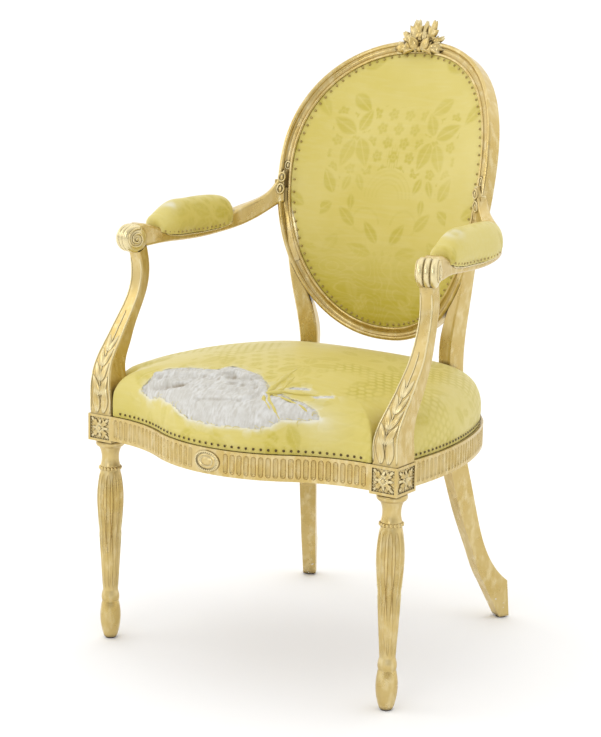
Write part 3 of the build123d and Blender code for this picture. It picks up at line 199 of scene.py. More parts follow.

# %% [markdown]
# Water gilding is gold leaf over clay and chalk. It is bright on the high places. Ambient occlusion finds the
# hollows, which are painted dark brown, partly as old dirt and partly as painted shade. The same node turned
# inward finds the sharp edges, painted paler, partly as rubbed leaf and partly as a painted highlight. Near
# the floor the feet are chipped down to the chalk.

# %% Gilding
gilding, tree, shader = new_finish("gilding")
hollows = openness(tree, 0.009, 8)
edges = openness(tree, 0.003, 6, inside=True)
patches = cloudy(tree, 22, 6)
streaks = cloudy(tree, 110, 5, (1.0, 1.0, 0.45))
leaf = blend(tree, ramp(tree, patches, 0.34, 0.66), (0.55, 0.40, 0.135, 1), (0.64, 0.495, 0.215, 1))
leaf = blend(tree, ramp(tree, streaks, 0.48, 0.8), leaf, (0.74, 0.62, 0.35, 1))
# Sharp edges are painted paler: rubbed leaf and a painted highlight.
leaf = blend(tree, ramp(tree, edges, 0.5, 0.2), leaf, (0.76, 0.65, 0.37, 1))
# Hollows are painted dark brown: old dirt and painted shade.
dirt_and_painted_shade = blend(tree, ramp(tree, hollows, 0.32, 0.88), (0.11, 0.065, 0.014, 1), leaf)
level = node(tree, "SeparateXYZ", {"Vector": node(tree, "TexCoord").outputs["Object"]}).outputs["Z"]
sound = ramp(tree, level, 0, 0.08, 0.6, 0.82)
chips = compute(tree, "GREATER_THAN", cloudy(tree, 60, 4), sound)
metal = compute(tree, "SUBTRACT", ramp(tree, hollows, 0, 1, 0.2, 0.88), chips, clamp=True)
colour = blend(tree, chips, dirt_and_painted_shade, (0.74, 0.70, 0.62, 1))
gloss = ramp(tree, patches, 0.3, 0.7, 0.2, 0.38)
feed(tree, shader, {"Base Color": colour, "Metallic": metal, "Roughness": gloss})
roughen(tree, shader, compute(tree, "ADD", streaks, patches), 0.0007, 0.35)

# %% [markdown]
# The braces and the back rail were never gilded. They are bare beech, brown with age, so the grain is
# a stretched noise and the surface is dull.

# %% Bare beech
bare_beech, tree, shader = new_finish("bare beech")
fibres = cloudy(tree, 14, 6, (1.0, 9.0, 9.0))
colour = blend(tree, fibres, (0.16, 0.082, 0.03, 1), (0.36, 0.22, 0.10, 1))
feed(tree, shader, {"Base Color": colour, "Roughness": 0.62})
roughen(tree, shader, fibres, 0.0004, 0.4)

# %% [markdown]
# The seat's tacks are small domed iron heads, dark with a little rubbed shine. Those of the back and the
# arm pads were once gilt and are brown. The glides under the feet are iron, more worn.

# %% Tacks and glides


def worn_metal(name, dark, light, scale):
    """Old metal with rubbed places."""
    finish, tree, shader = new_finish(name)
    rub = cloudy(tree, scale, 4)
    colour = blend(tree, ramp(tree, rub, 0.35, 0.7), dark, light)
    gloss = ramp(tree, rub, 0, 1, 0.3, 0.62)
    feed(tree, shader, {"Base Color": colour, "Metallic": 0.75, "Roughness": gloss})
    return finish


tack_iron = worn_metal("tack iron", (0.05, 0.032, 0.014, 1), (0.20, 0.14, 0.06, 1), 900)
tack_gilt = worn_metal("tack gilt", (0.26, 0.18, 0.055, 1), (0.58, 0.44, 0.17, 1), 900)
glide_iron = worn_metal("glide iron", (0.035, 0.03, 0.026, 1), (0.22, 0.20, 0.17, 1), 220)

# %% [markdown]
# Silk damask shows its pattern only by the direction of its threads: the ground is a satin weave that
# shines, and the figure is duller and deeper. The figure is drawn below as a value on every point of the
# cloth, and this finish turns it into two close yellows. A second value says where the silk is worn.

# %% Damask
damask, tree, shader = new_finish("damask")
figure = node(tree, "Attribute", attribute_name="figure").outputs["Fac"]
worn = node(tree, "Attribute", attribute_name="worn").outputs["Fac"]
slub = cloudy(tree, 170, 3, (0.1, 1.0, 1.0))
fade = ramp(tree, cloudy(tree, 9, 4), 0.3, 0.7)
ground = blend(tree, fade, (0.605, 0.50, 0.105, 1), (0.665, 0.565, 0.175, 1))
twill = blend(tree, fade, (0.455, 0.37, 0.018, 1), (0.525, 0.435, 0.05, 1))
silk = blend(tree, figure, ground, twill)
silk = blend(tree, ramp(tree, slub, 0.45, 0.75, 0, 0.3), silk, (0.66, 0.575, 0.23, 1))
silk = blend(tree, worn, silk, (0.72, 0.69, 0.54, 1))
feed(tree, shader, {"Base Color": silk, "Roughness": ramp(tree, figure, 0, 1, 0.42, 0.6), "Sheen Weight": 0.2,
                    "Sheen Roughness": 0.4, "Sheen Tint": (1.0, 0.95, 0.75, 1)})
roughen(tree, shader, compute(tree, "SUBTRACT", cloudy(tree, 1500, 2), figure), 0.0003, 0.3)

# %% [markdown]
# Under the torn seat lies white cotton wadding in a torn lining. Its creases are darkened brown as painted
# shade.
# The seat stands on straps of woven jute, and on a plain linen cloth that keeps the stuffing in.

# %% Wadding, jute and linen
wadding, tree, shader = new_finish("wadding")
fibres = cloudy(tree, 260, 6, (1.0, 0.35, 0.35))
lumps = cloudy(tree, 48, 5)
creases = openness(tree, 0.009, 8, only_local=True)
cotton = blend(tree, ramp(tree, lumps, 0.32, 0.62), (0.57, 0.555, 0.51, 1), (0.67, 0.665, 0.64, 1))
cotton = blend(tree, ramp(tree, fibres, 0.35, 0.6), (0.53, 0.51, 0.46, 1), cotton)
# Creases found by ambient occlusion are darkened brown: painted shade.
cotton = blend(tree, ramp(tree, creases, 0.3, 0.8), (0.34, 0.26, 0.16, 1), cotton)
feed(tree, shader, {"Base Color": cotton, "Roughness": 0.95})
roughen(tree, shader, fibres, 0.0022, 0.6)


def woven(name, dark, light, pitch):
    """Plain weave cloth from two crossing sets of threads."""
    finish, tree, shader = new_finish(name)
    threads = {"Vector": node(tree, "TexCoord").outputs["Object"], "Scale": pitch, "Distortion": 0.6}
    across, along = (node(tree, "TexWave", threads, bands_direction=axis).outputs["Fac"] for axis in "XY")
    cross = compute(tree, "MULTIPLY", across, along)
    shade = compute(tree, "MULTIPLY", cross, cloudy(tree, 60, 4))
    colour = blend(tree, ramp(tree, shade, 0.02, 0.4), dark, light)
    feed(tree, shader, {"Base Color": colour, "Roughness": 0.9})
    roughen(tree, shader, cross, 0.0008, 0.7)
    return finish


jute = woven("jute", (0.16, 0.10, 0.045, 1), (0.46, 0.34, 0.19, 1), 150)
linen = woven("linen", (0.33, 0.27, 0.17, 1), (0.66, 0.60, 0.47, 1), 260)

# %% [markdown]
# The construction's own pieces now get their finishes by name. Nothing is moved. Soft solids get no
# finish here, because modelled pieces stand in for them further on.

# %% Finish the frame
PAIRS = ("front_leg", "rear_leg", "side_rail", "arm", "arm_support")
GILDED = [f"{name}_{side}" for name in PAIRS for side in ("left", "right")]
GILDED += ["front_rail", "crest_rail", "lower_back_rail", "rail_patera", "corner_rosettes", "husk_carvings",
           "crest_carving"]
finishes = {name: gilding for name in GILDED}
finishes |= {"corner_braces": bare_beech, "back_rail": bare_beech, "seat_tacks": tack_iron,
             "back_tacks": tack_gilt, "arm_pad_tacks": tack_gilt, "foot_glides": glide_iron}
for name, finish in finishes.items():
    slots = wood[name].data.materials
    slots.clear()
    slots.append(finish)
print("gilded pieces:", len(GILDED))

# %% [markdown]
# Modelled pieces are meshes that ride on the chair's one body. The helpers make a mesh from points in
# millimetres, smooth its shading and fasten it there. Others ease, weigh and compare points.

# %% Piece helpers


def ride_on_chair(name, mesh, finish):
    """A mesh with its finish, as a piece that rides on the chair."""
    mesh.materials.clear()
    mesh.materials.append(finish)
    made = new_object(name, mesh)
    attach(made, "root")
    return made


def make_piece(name, points, faces, finish):
    """A smooth piece from points in millimetres."""
    mesh = bpy.data.meshes.new(name)
    mesh.from_pydata([tuple(p) for p in np.asarray(points) * MM], [], [tuple(f) for f in faces])
    mesh.update()
    mesh.polygons.foreach_set("use_smooth", [True] * len(mesh.polygons))
    return ride_on_chair(name, mesh, finish)


def silk_piece(name, points, faces, figure_values, worn_values):
    """A piece of damask with its figure and its wear."""
    made = make_piece(name, points, faces, damask)
    for layer_name, values in (("figure", figure_values), ("worn", worn_values)):
        layer = made.data.attributes.new(layer_name, "FLOAT", "POINT")
        layer.data.foreach_set("value", np.asarray(values, dtype=np.float32))
    return made


def grid_faces(rows, columns, closed=True, first=0):
    """Faces of a grid of points, each row a ring or an open line."""
    faces = []
    for row in range(rows - 1):
        here, there = first + row * columns, first + (row + 1) * columns
        for c in range(columns if closed else columns - 1):
            d = (c + 1) % columns
            faces.append((here + c, here + d, there + d, there + c))
    return faces


def capped_faces(rows, columns):
    """Faces of a grid of rings, with its last and first ring closed."""
    last = (rows - 1) * columns
    return grid_faces(rows, columns) + [tuple(range(last, last + columns)), tuple(range(columns - 1, -1, -1))]


def unit(values):
    """Values kept between 0 and 1."""
    return np.clip(values, 0, 1)


def fall(distance, wide):
    """1 at no distance, falling away over a width."""
    return np.exp(-((distance / wide) ** 2))


def spot_on(x, w, middle, wide):
    """1 in the middle of an oval spot, falling away over its two widths."""
    return np.exp(-(((x - middle[0]) / wide[0]) ** 2) - ((w - middle[1]) / wide[1]) ** 2)


def ease(values, times):
    """Smooth values along their rows, with the ends kept."""
    for _ in range(times):
        values[1:-1] = (values[:-2] + 2 * values[1:-1] + values[2:]) / 4


def ripple(points, scale, seed):
    """Smooth noise at many points."""
    return np.array([noise.noise(Vector((p[0] * scale + seed, p[1] * scale, p[2] * scale))) for p in points])


def near_tacks(points, name, step):
    """1 at a tack, falling to 0 a few millimetres from it."""
    tacks = np.array([v.co[:] for v in wood[name].data.vertices])[::step] / MM
    return fall(np.min(np.linalg.norm(points[:, None, :] - tacks[None], axis=2), axis=1), 4.0)


# %% [markdown]
# The damask has a large symmetrical figure: two sprays of pointed leaves with small flowers strewn between
# them, a bell under arched bands, scrolls, and a fan below. Some parts are filled with a net of six-sided
# cells. Each shape is a simple test in the plane of the cloth, in millimetres.

# %% Damask figure
REPEAT_WIDE, REPEAT_TALL = 236, 440
LEAVES = (
    (70, 92, 2.0, 40, 12), (74, 88, 0.5, 52, 13), (66, 82, -1.95, 50, 14), (76, 80, -1.2, 50, 13.5),
    (60, 26, -2.0, 32, 8.5), (72, 24, -1.2, 32, 8.5), (66, -6, -1.6, 30, 8), (12, -84, 0.95, 46, 11),
    (22, -102, 0.3, 50, 12), (18, -124, -0.4, 46, 11), (56, -58, 0.8, 44, 11), (84, -72, -0.9, 46, 12),
    (98, -8, 1.1, 46, 12), (98, -22, -0.6, 40, 11), (92, 150, -2.5, 46, 13), (62, -140, -1.8, 48, 12),
    (30, -168, -0.9, 44, 11), (90, 190, 2.6, 46, 12))


def leaf_mask(u, v, x, y, turn, length, wide):
    """A pointed leaf with a vein, 1 inside."""
    p = (u - x) * math.cos(turn) + (v - y) * math.sin(turn)
    q = -(u - x) * math.sin(turn) + (v - y) * math.cos(turn)
    edge = wide * np.sin(math.pi * unit(p / length) ** 0.8) ** 0.85
    blade = unit((edge - np.abs(q)) / 4.0) * (p > 0) * (p < length)
    return blade * np.clip(np.abs(q) / 1.8, 0.5, 1)


def strewn_flowers(u, v, wide, tall, size, petals=5):
    """Small flowers in a diagonal order, each of petals about an eye."""
    row = np.floor(v / tall)
    place = u / wide + 0.5 * (row % 2)
    u, v = (place - np.floor(place) - 0.5) * wide, v - (row + 0.5) * tall
    reach, turn = np.hypot(u, v), np.arctan2(v, u)
    rim = size * (0.7 + 0.3 * np.abs(np.cos(turn * petals / 2)))
    return unit((rim - reach) / 4.0) * np.clip(np.abs(reach - size * 0.3) / 1.6, 0.65, 1)


def cell_net(u, v, pitch):
    """Six-sided cells with thin lines between them."""
    tall = pitch * math.sqrt(3)
    best = np.full(np.shape(u), 1e9)
    for shift in (0, 0.5):
        p = u - (np.round(u / pitch - shift) + shift) * pitch
        q = v - (np.round(v / tall - shift) + shift) * tall
        slant = math.sqrt(3) / 2 * np.abs(q) + np.abs(p) / 2
        best = np.minimum(best, np.maximum(np.abs(p), slant))
    return unit((pitch / 2 - 1.6 - best) / 1.4)


def damask_figure(u, v):
    """How much of the figure shows at points of the cloth, from 0 to 1."""
    column = np.floor(u / REPEAT_WIDE + 0.5)
    s = np.abs(u - column * REPEAT_WIDE)
    v = v + (column % 2) * REPEAT_TALL / 2
    v = v - np.floor(v / REPEAT_TALL + 0.5) * REPEAT_TALL
    leaves, room = np.zeros_like(s), np.zeros_like(s)
    for x, y, turn, length, wide in LEAVES:
        leaves = np.maximum(leaves, leaf_mask(s, v, x, y, turn, length, wide))
        room = np.maximum(room, leaf_mask(s, v, x, y, turn, length + 4, wide + 5) > 0)
    flowers = strewn_flowers(s + 15, v, 30, 22, 11.5) * (v > 2) * (v < 134) * (1 - room)
    far = np.hypot(s, v + 8)
    bands = unit(np.cos(far / 7 * 2 * math.pi) * 1.5) * (far > 18) * (far < 47) * (v > -10)
    bell = leaf_mask(s, v, 0, 34, QUARTER, 44, 14) * unit(np.cos(s * 1.4) + 0.9)
    around = np.arctan2(v + 52, s - 40)
    spiral = np.hypot(s - 40, v + 52) - 9 - 3.2 * (around + math.pi)
    scroll = unit(1.6 - np.abs(spiral) / 1.8)
    reach, spokes = np.hypot(s, v + 132), np.cos(np.arctan2(s, v + 132) * 14)
    fan = unit(spokes * 1.6) * (reach > 8) * (reach < 34 + 5 * spokes)
    inner = (far < 47) & (v > -10)
    whole = np.max([leaves, flowers * ~inner, bands * 0.22, bell * 0.5, scroll * 0.25, fan * 0.4], axis=0)
    return whole * (0.72 + 0.28 * np.sin(u / 31 + 1.3 * np.sin(v / 43)) * np.sin(v / 37 + 0.7))


print("leaves in the figure:", len(LEAVES))

# %% [markdown]
# The seat is a stuffed dome over serpentine rails. It could be a remeshed block, but a drawn grid keeps
# clean rings for the cloth to follow: the outline of the rails is the outermost ring, and each ring
# further in is smaller, higher and rounder. Near the arm posts the cover is cut in.

# %% Seat outline
FRONT_Y, RAIL_TOP, FACE_Y, HALF_SPAN, SERPENTINE = -201.0, 365.0, -227.0, 233.5, 67.0
SEAT_MIDDLE = FRONT_Y + 150
BOW_RADIUS = (HALF_SPAN**2 + SERPENTINE**2) / (4 * SERPENTINE)
BOW_ANGLE = math.asin(HALF_SPAN / 2 / BOW_RADIUS)
SIDE_RADIUS, TURN_RADIUS = 520.0, 180.0
SIDE_CENTER = (276.5 - SIDE_RADIUS, FRONT_Y + 95)
SIDE_START, SIDE_END = -math.asin(69 / SIDE_RADIUS), math.asin(197 / SIDE_RADIUS)
TURN_END = math.radians(90 - 29.3)
TURN_CENTER = (SIDE_CENTER[0] + (SIDE_RADIUS - TURN_RADIUS) * math.cos(SIDE_END),
               SIDE_CENTER[1] + (SIDE_RADIUS - TURN_RADIUS) * math.sin(SIDE_END))
POST_NOTCH = [(237.5, -226), (238.4, -205), (239.5, -184), (246, -177.6), (262, -177.4)]
SEAT_COLUMNS, ROUNDING = 840, 2000


def on_arc(center, radius, start, end, steps):
    """Points along an arc in plan."""
    turns = np.linspace(start, end, steps)
    return [(center[0] + radius * math.cos(t), center[1] + radius * math.sin(t)) for t in turns]


def even_ring(points, count):
    """The same closed ring, with its points evenly spaced."""
    ring = np.array(points + points[:1])
    along = np.concatenate([[0], np.cumsum(np.hypot(*np.diff(ring, axis=0).T))])
    places = np.linspace(0, along[-1], count, endpoint=False)
    return np.stack([np.interp(places, along, ring[:, i]) for i in (0, 1)], axis=1)


half_outline = on_arc((0, FACE_Y - SERPENTINE + BOW_RADIUS), BOW_RADIUS, -QUARTER, -QUARTER + BOW_ANGLE, 30)
half_outline += on_arc((HALF_SPAN, FACE_Y - BOW_RADIUS), BOW_RADIUS, QUARTER + BOW_ANGLE, QUARTER, 30)[1:]
half_outline += POST_NOTCH
half_outline += on_arc(SIDE_CENTER, SIDE_RADIUS, SIDE_START, SIDE_END, 50)
half_outline += on_arc(TURN_CENTER, TURN_RADIUS, SIDE_END, TURN_END, 26)[1:]
half_outline += [(half_outline[-1][0] * s, half_outline[-1][1]) for s in np.linspace(0.95, 0, 20)]
outline = half_outline + [(-x, y) for x, y in reversed(half_outline[1:-1])]
seat_ring = even_ring(outline, SEAT_COLUMNS)
round_ring = seat_ring.copy()
for _ in range(ROUNDING):
    beside = np.roll(round_ring, 1, axis=0) + np.roll(round_ring, -1, axis=0)
    round_ring = round_ring * 0.5 + beside * 0.25
print("seat outline:", len(seat_ring), "points")

# %% [markdown]
# The dome's profile is read off the side of the seat: a straight skirt above the rail, a full shoulder,
# and a gentle crown. The cover is drawn in at every tack, which gives the scalloped edge of real work.

# %% Seat surface
SEAT_ROWS, TACKED_ROWS, SEAT_REACH, REAR_EDGE = 140, 20, 250, 21
profile = np.array([(0.6, 0.983), (8, 0.9835), (20, 0.985), (31, 0.9835), (46, 0.971), (59, 0.948),
                    (69, 0.905), (79, 0.80), (88.4, 0.64), (97, 0.42), (102, 0.2), (103.5, 0.0)])
walk = np.cumsum(np.hypot(np.diff(profile[:, 0]), SEAT_REACH * np.diff(profile[:, 1])))
walk = np.concatenate([[0], walk])
steps = np.linspace(0, walk[-1], SEAT_ROWS)
rise, size = np.interp(steps, walk, profile[:, 0]), np.interp(steps, walk, profile[:, 1])
ease(rise, 12)
ease(size, 12)
rings = []
for z, s in zip(rise, size):
    smooth = unit((0.975 - s) / 0.3) ** 0.7
    ring = seat_ring * (1 - smooth) + round_ring * smooth * 1.02
    plan = np.stack([ring[:, 0] * s, SEAT_MIDDLE + (ring[:, 1] - SEAT_MIDDLE) * s], axis=1)
    rings.append(np.column_stack([plan, np.full(SEAT_COLUMNS, RAIL_TOP + z)]))
seat = np.array(rings)
behind = (seat[..., 1] > 150) & (np.abs(seat[..., 0]) < 150)
seat[..., 2] = np.where(behind, np.maximum(seat[..., 2], RAIL_TOP + REAR_EDGE), seat[..., 2])
inward = np.array([0, SEAT_MIDDLE, 0]) - seat
inward[..., 2] = 0
inward /= np.maximum(np.linalg.norm(inward, axis=2, keepdims=True), 1e-6)
for row in range(TACKED_ROWS):
    seat[row] += inward[row] * (0.9 * near_tacks(seat[row], "seat_tacks", 6))[:, None]
lengths = np.cumsum(np.linalg.norm(np.diff(seat[::-1], axis=0), axis=2), axis=0)[::-1]
reach = np.vstack([lengths, np.zeros(SEAT_COLUMNS)])
turn = np.arctan2(seat_ring[:, 1] - SEAT_MIDDLE, seat_ring[:, 0])
flat_u, flat_v = (reach * np.cos(turn)).reshape(-1), (reach * np.sin(turn)).reshape(-1)
print("seat height:", round(float(seat[..., 2].max()), 1), "mm")

# %% [markdown]
# The seat's cover is torn along its front. Places on the front of the dome are given by their distance
# across and by depth and height added together, which grows evenly up the slope. The tear is a closed
# line in that plane, with two short slits beside it, and noise frays its rim.

# %% Tear in the cover
tear_line = [
    (-175, 186), (-165, 210), (-157, 232), (-150, 250), (-124, 262), (-89, 266), (-68, 262), (-57, 276),
    (-50, 294), (-31, 288), (-6, 278), (19, 269), (43, 244), (62, 222), (78, 222), (95, 212), (118, 209),
    (146, 199), (152, 185), (134, 172), (106, 158), (90, 137), (73, 123), (51, 117), (18, 110), (-6, 110),
    (-37, 113), (-59, 126), (-82, 144), (-121, 164), (-149, 168)]
slits = ([(72, 236), (90, 252), (108, 257), (110, 250), (92, 243)],
         [(122, 234), (150, 251), (153, 244), (130, 231)])
TEAR_REAR, OUTSIDE = -60, -99


def inside_line(x, w, line):
    """Which points lie inside a closed line."""
    hit = np.zeros(np.shape(x), dtype=bool)
    for (x0, w0), (x1, w1) in zip(line, line[1:] + line[:1]):
        crosses = (w0 > w) != (w1 > w)
        hit ^= crosses & (x < (x1 - x0) * (w - w0) / (w1 - w0 + 1e-12) + x0)
    return hit


def distance_to_path(x, w, path):
    """Distance from points to an open path."""
    best = np.full(np.shape(x), 1e9)
    for (x0, w0), (x1, w1) in zip(path, path[1:]):
        dx, dw = x1 - x0, w1 - w0
        share = unit(((x - x0) * dx + (w - w0) * dw) / (dx * dx + dw * dw))
        best = np.minimum(best, np.hypot(x - x0 - share * dx, w - w0 - share * dw))
    return best


def depth_in_tear(x, w):
    """How far points lie inside the tear or a slit; negative outside."""
    deepest = np.full(np.shape(x), -1e9)
    for line in (tear_line, *slits):
        far = distance_to_path(x, w, line + line[:1])
        deepest = np.maximum(deepest, np.where(inside_line(x, w, line), far, -far))
    return deepest


def ridge(x, w, path, wide):
    """A soft ridge along a path, 1 on its line."""
    return fall(distance_to_path(x, w, path), wide)


flat = seat.reshape(-1, 3)
seat_x, seat_w = flat[:, 0], flat[:, 1] + flat[:, 2]
in_front = flat[:, 1] < TEAR_REAR
inside = np.where(in_front, depth_in_tear(seat_x, seat_w), OUTSIDE) + 2.4 * ripple(flat, 0.11, 9.0)
torn = inside > 0
print("torn points:", int(torn.sum()))

# %% [markdown]
# The cover keeps the faces outside the tear. Its rim curls up a little, and old creases cross the front.
# The net of cells fills two parts of the cloth, at the back on one side and round the other.

# %% Torn cover
CELL_PITCH = 14
creases = ([(-75, 103), (-36, 95), (36, 94), (70, 104), (93, 112), (133, 137)],
           [(-198, 182), (-188, 171), (-169, 163)], [(155, 150), (178, 158), (204, 176)],
           [(160, 172), (190, 186), (212, 204)], [(158, 196), (184, 208), (206, 226)],
           [(-190, 205), (-182, 226), (-168, 246)])
seat_tree = BVHTree.FromPolygons([tuple(p) for p in flat], grid_faces(SEAT_ROWS, SEAT_COLUMNS))
SLOPE_OUT = Vector((0, -1, 1)).normalized()


def on_slope(x, w, height):
    """Point on the front of the dome, raised along the slope's outward direction."""
    hit = seat_tree.ray_cast(Vector((x, -500, w + 500)), Vector((0, 1, -1)))
    return hit[0] + SLOPE_OUT * height


lift = fall(inside, 6.0) * ~torn * in_front * (0.8 + 1.8 * ripple(flat, 0.045, 3.1))
lift += 0.45 * ripple(flat, 0.02, 7.7)
for path in creases:
    furrow = 1.3 * in_front * ridge(seat_x, seat_w, path, 2.2)
    lift -= furrow - 0.7 * in_front * ridge(seat_x, seat_w + 4, path, 3.5)
cover_points = flat + np.outer(lift, np.array(SLOPE_OUT))
cover_faces = [f for f in grid_faces(SEAT_ROWS, SEAT_COLUMNS) if sum(torn[i] for i in f) < 3]
behind_left = unit((seat_w - 322 - 25 * np.sin(seat_x / 33)) / 25) * unit((-10 - seat_x) / 30)
on_right = unit((seat_w - 262 + 0.15 * seat_x) / 22) * unit((seat_x - 78) / 20) + unit((seat_x - 190) / 20)
cells = unit(unit(behind_left + on_right) * (0.6 + 2.2 * ripple(flat, 0.013, 2.0)))
cells = cells * (1 - 0.4 * unit((seat_x - 170) / 40))
drawn = damask_figure(flat_u + 20, flat_v + 150)
drawn = np.maximum(drawn, 0.8 * spot_on(seat_x, seat_w, (-200, 138), (38, 32)))
net = 1 - cell_net(flat_u, flat_v, CELL_PITCH)
figure_here = (0.18 + 0.6 * drawn) * (1 - cells) + (0.1 + 0.8 * net) * cells
worn_here = 0.5 * fall(inside, 2.0) + 0.25 * fall(inside, 14.0) * (ripple(flat, 0.05, 1.0) > 0.1)
worn_here += 0.45 * fall(inside, 5.0) * (seat_w < 190) * in_front
worn_here += 0.3 * in_front * spot_on(seat_x, seat_w, (150, 186), (42, 36))
print("seat cover faces:", len(cover_faces))

# %% [markdown]
# Strips of torn silk lie over the right-hand end of the hole. They are soft rolls that sink at their ends.
# Short loose threads stand round its rim, at even golden steps so that none repeat.

# %% Strips and threads
STRIP_STEPS, STRIP_PLACES = 30, (-1, -0.8, -0.4, 0, 0.4, 0.8, 1)
THREADS, GOLDEN, THREAD_PLACES = 70, 0.618034, (0, 0.35, 0.7, 1)
strips = (([(63, 212), (58, 239), (55, 272), (50, 305), (46, 332)], 4.6),
          ([(72, 216), (74, 240), (68, 270), (62, 298)], 3.4),
          ([(62, 208), (80, 226), (104, 233), (123, 238), (136, 242)], 5.4),
          ([(66, 206), (80, 186), (93, 168), (104, 156)], 3.6),
          ([(60, 214), (66, 190), (84, 170), (92, 150)], 3.0),
          ([(74, 208), (100, 205), (126, 196), (140, 186)], 3.4))
strip_points, strip_faces = [], []
for path, half in strips:
    line = np.array(path, dtype=float)
    places = np.linspace(0, len(line) - 1, STRIP_STEPS)
    middle = np.column_stack([np.interp(places, np.arange(len(line)), line[:, i]) for i in (0, 1)])
    along = np.gradient(middle, axis=0)
    along /= np.linalg.norm(along, axis=1, keepdims=True)
    first = len(flat) + len(strip_points)
    for k, ((x, w), (dx, dw)) in enumerate(zip(middle, along)):
        share = k / (STRIP_STEPS - 1)
        wide = half * (1 - 0.5 * share**2) * (1 + 0.22 * math.sin(share * 17 + half))
        for q in STRIP_PLACES:
            height = (0.6 * wide + 1.6) * (1 - share**5) * math.sqrt(1 - q * q)
            height = height - 0.8 + 0.5 * math.sin(share * 11 + 2 * q)
            strip_points.append(on_slope(x - dw * q * wide, w + dx * q * wide, height))
    strip_faces += grid_faces(STRIP_STEPS, len(STRIP_PLACES), closed=False, first=first)
for k in range(THREADS):
    at = (k * GOLDEN) % 1 * len(tear_line)
    (x0, w0), (x1, w1) = tear_line[int(at)], tear_line[(int(at) + 1) % len(tear_line)]
    x, w = x0 + (x1 - x0) * (at % 1), w0 + (w1 - w0) * (at % 1)
    turn_now, length = math.atan2(190 - w, -20 - x) + 1.1 * math.sin(k * 2.4), 7 + 6 * math.sin(k * 1.7)
    first = len(flat) + len(strip_points)
    for share in THREAD_PLACES:
        bend = turn_now + 0.8 * math.sin(k) * share
        for q in (-0.45, 0.45):
            spot_x = x + math.cos(bend) * length * share - math.sin(bend) * q
            spot_w = w + math.sin(bend) * length * share + math.cos(bend) * q
            strip_points.append(on_slope(spot_x, spot_w, 1.4 + 2.6 * math.sin(math.pi * share)))
    strip_faces += grid_faces(len(THREAD_PLACES), 2, closed=False, first=first)

extra = len(strip_points)
all_points = np.vstack([cover_points, np.array([tuple(p) for p in strip_points])])
seat_cover = silk_piece("seat_cover_silk", all_points, cover_faces + strip_faces,
                        np.concatenate([figure_here, np.full(extra, 0.35)]),
                        np.concatenate([unit(worn_here), np.full(extra, 0.05)]))
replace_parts(seat_cover, "seat_cover")
print("torn strips:", len(strips), "threads:", THREADS)

# %% [markdown]
# The wadding is a grid of its own laid over the same slope. It swells through the hole, keeps below the
# cover round the rim, and the torn lining lies on it in rolls with deep creases below them.

# %% Seat wadding
BED_PITCH, BED_MARGIN = 1.8, -11
rolls = (([(-150, 222), (-120, 236), (-95, 240), (-70, 246)], 13, 6.5),
         ([(-45, 252), (-28, 266), (8, 254)], 15, 8.0), ([(20, 250), (44, 228), (56, 206)], 8, 5.0),
         ([(-160, 200), (-120, 203), (-92, 206)], 7, 3.5), ([(-60, 236), (-20, 232), (30, 222)], 7, 3.0))
folds = (([(-170, 190), (-129, 187), (-95, 189), (-77, 202), (-79, 220)], 4.5, 4.6),
         ([(-34, 156), (-7, 161), (19, 166), (36, 170), (48, 184), (56, 209)], 4.2, 3.6),
         ([(-62, 246), (-55, 268), (-52, 284)], 5, 4.0), ([(-20, 246), (0, 238), (22, 240)], 4, 3.0),
         ([(-130, 250), (-104, 246), (-84, 252)], 4, 2.6))
across_now, up_now = np.meshgrid(np.arange(-186, 162, BED_PITCH), np.arange(98, 306, BED_PITCH))
bed_x, bed_w = across_now.reshape(-1), up_now.reshape(-1)
bed_in = depth_in_tear(bed_x, bed_w)
bed_plan = np.column_stack([bed_x, bed_w, np.zeros(len(bed_x))])
swell = 1.0 + 1.7 * ripple(bed_plan, 0.045, 11.0) + 0.9 * ripple(bed_plan, 0.13, 5.0)
swell = swell + 0.6 * ripple(bed_plan * [1, 0.3, 1], 0.3, 8.0)
crumple = np.clip((bed_w - 172 - 0.1 * bed_x) / 30, 0.12, 1)
wide_folds, small_folds = np.abs(ripple(bed_plan, 0.034, 21.0)), np.abs(ripple(bed_plan, 0.075, 33.0))
swell += crumple * (3.4 - 9.0 * wide_folds - 5.0 * small_folds)
for path, wide, high in rolls:
    swell += high * ridge(bed_x, bed_w, path, wide)
for path, wide, deep in folds:
    swell -= deep * ridge(bed_x, bed_w, path, wide)
rim_level = -0.7 - 1.6 * unit((-2 - bed_in) / 5)
swell = rim_level + (swell - rim_level) * unit((bed_in + 1) / 8) ** 0.8
near = bed_in > BED_MARGIN
bed_points = np.array([tuple(on_slope(x, w, h)) if keep else (0, 0, 0)
                       for x, w, h, keep in zip(bed_x, bed_w, swell, near)])
bed_faces = [f for f in grid_faces(*across_now.shape, closed=False) if all(near[i] for i in f)]
used = sorted({i for f in bed_faces for i in f})
renumber = {old: new for new, old in enumerate(used)}
bed_faces = [[renumber[i] for i in f] for f in bed_faces]
seat_wadding = make_piece("seat_wadding", bed_points[used], bed_faces, wadding)
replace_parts(seat_wadding, "seat_stuffing")
print("wadding faces:", len(bed_faces))

# %% [markdown]
# The back is an oval panel, hollow across and swelling in the middle, tacked inside the moulded frame.
# It is drawn like the seat, as rings from the tacked edge to the centre, on the same curved surface as
# the frame. Its rim is turned in along the direction that the hollow faces.

# %% Back surface
OVAL_Z, OVAL_WIDE, OVAL_TALL, OVAL_EGG, OVAL_SQUARE = 694.0, 170.0, 218.0, 0.11, 2.24
PAD_GAP, BACK_CROWN, BACK_SET, DISH_RADIUS = 1.2, 24.0, 3.3, 310
BACK_COLUMNS, BACK_ROWS, BACK_TACKED_ROWS = 640, 128, 10


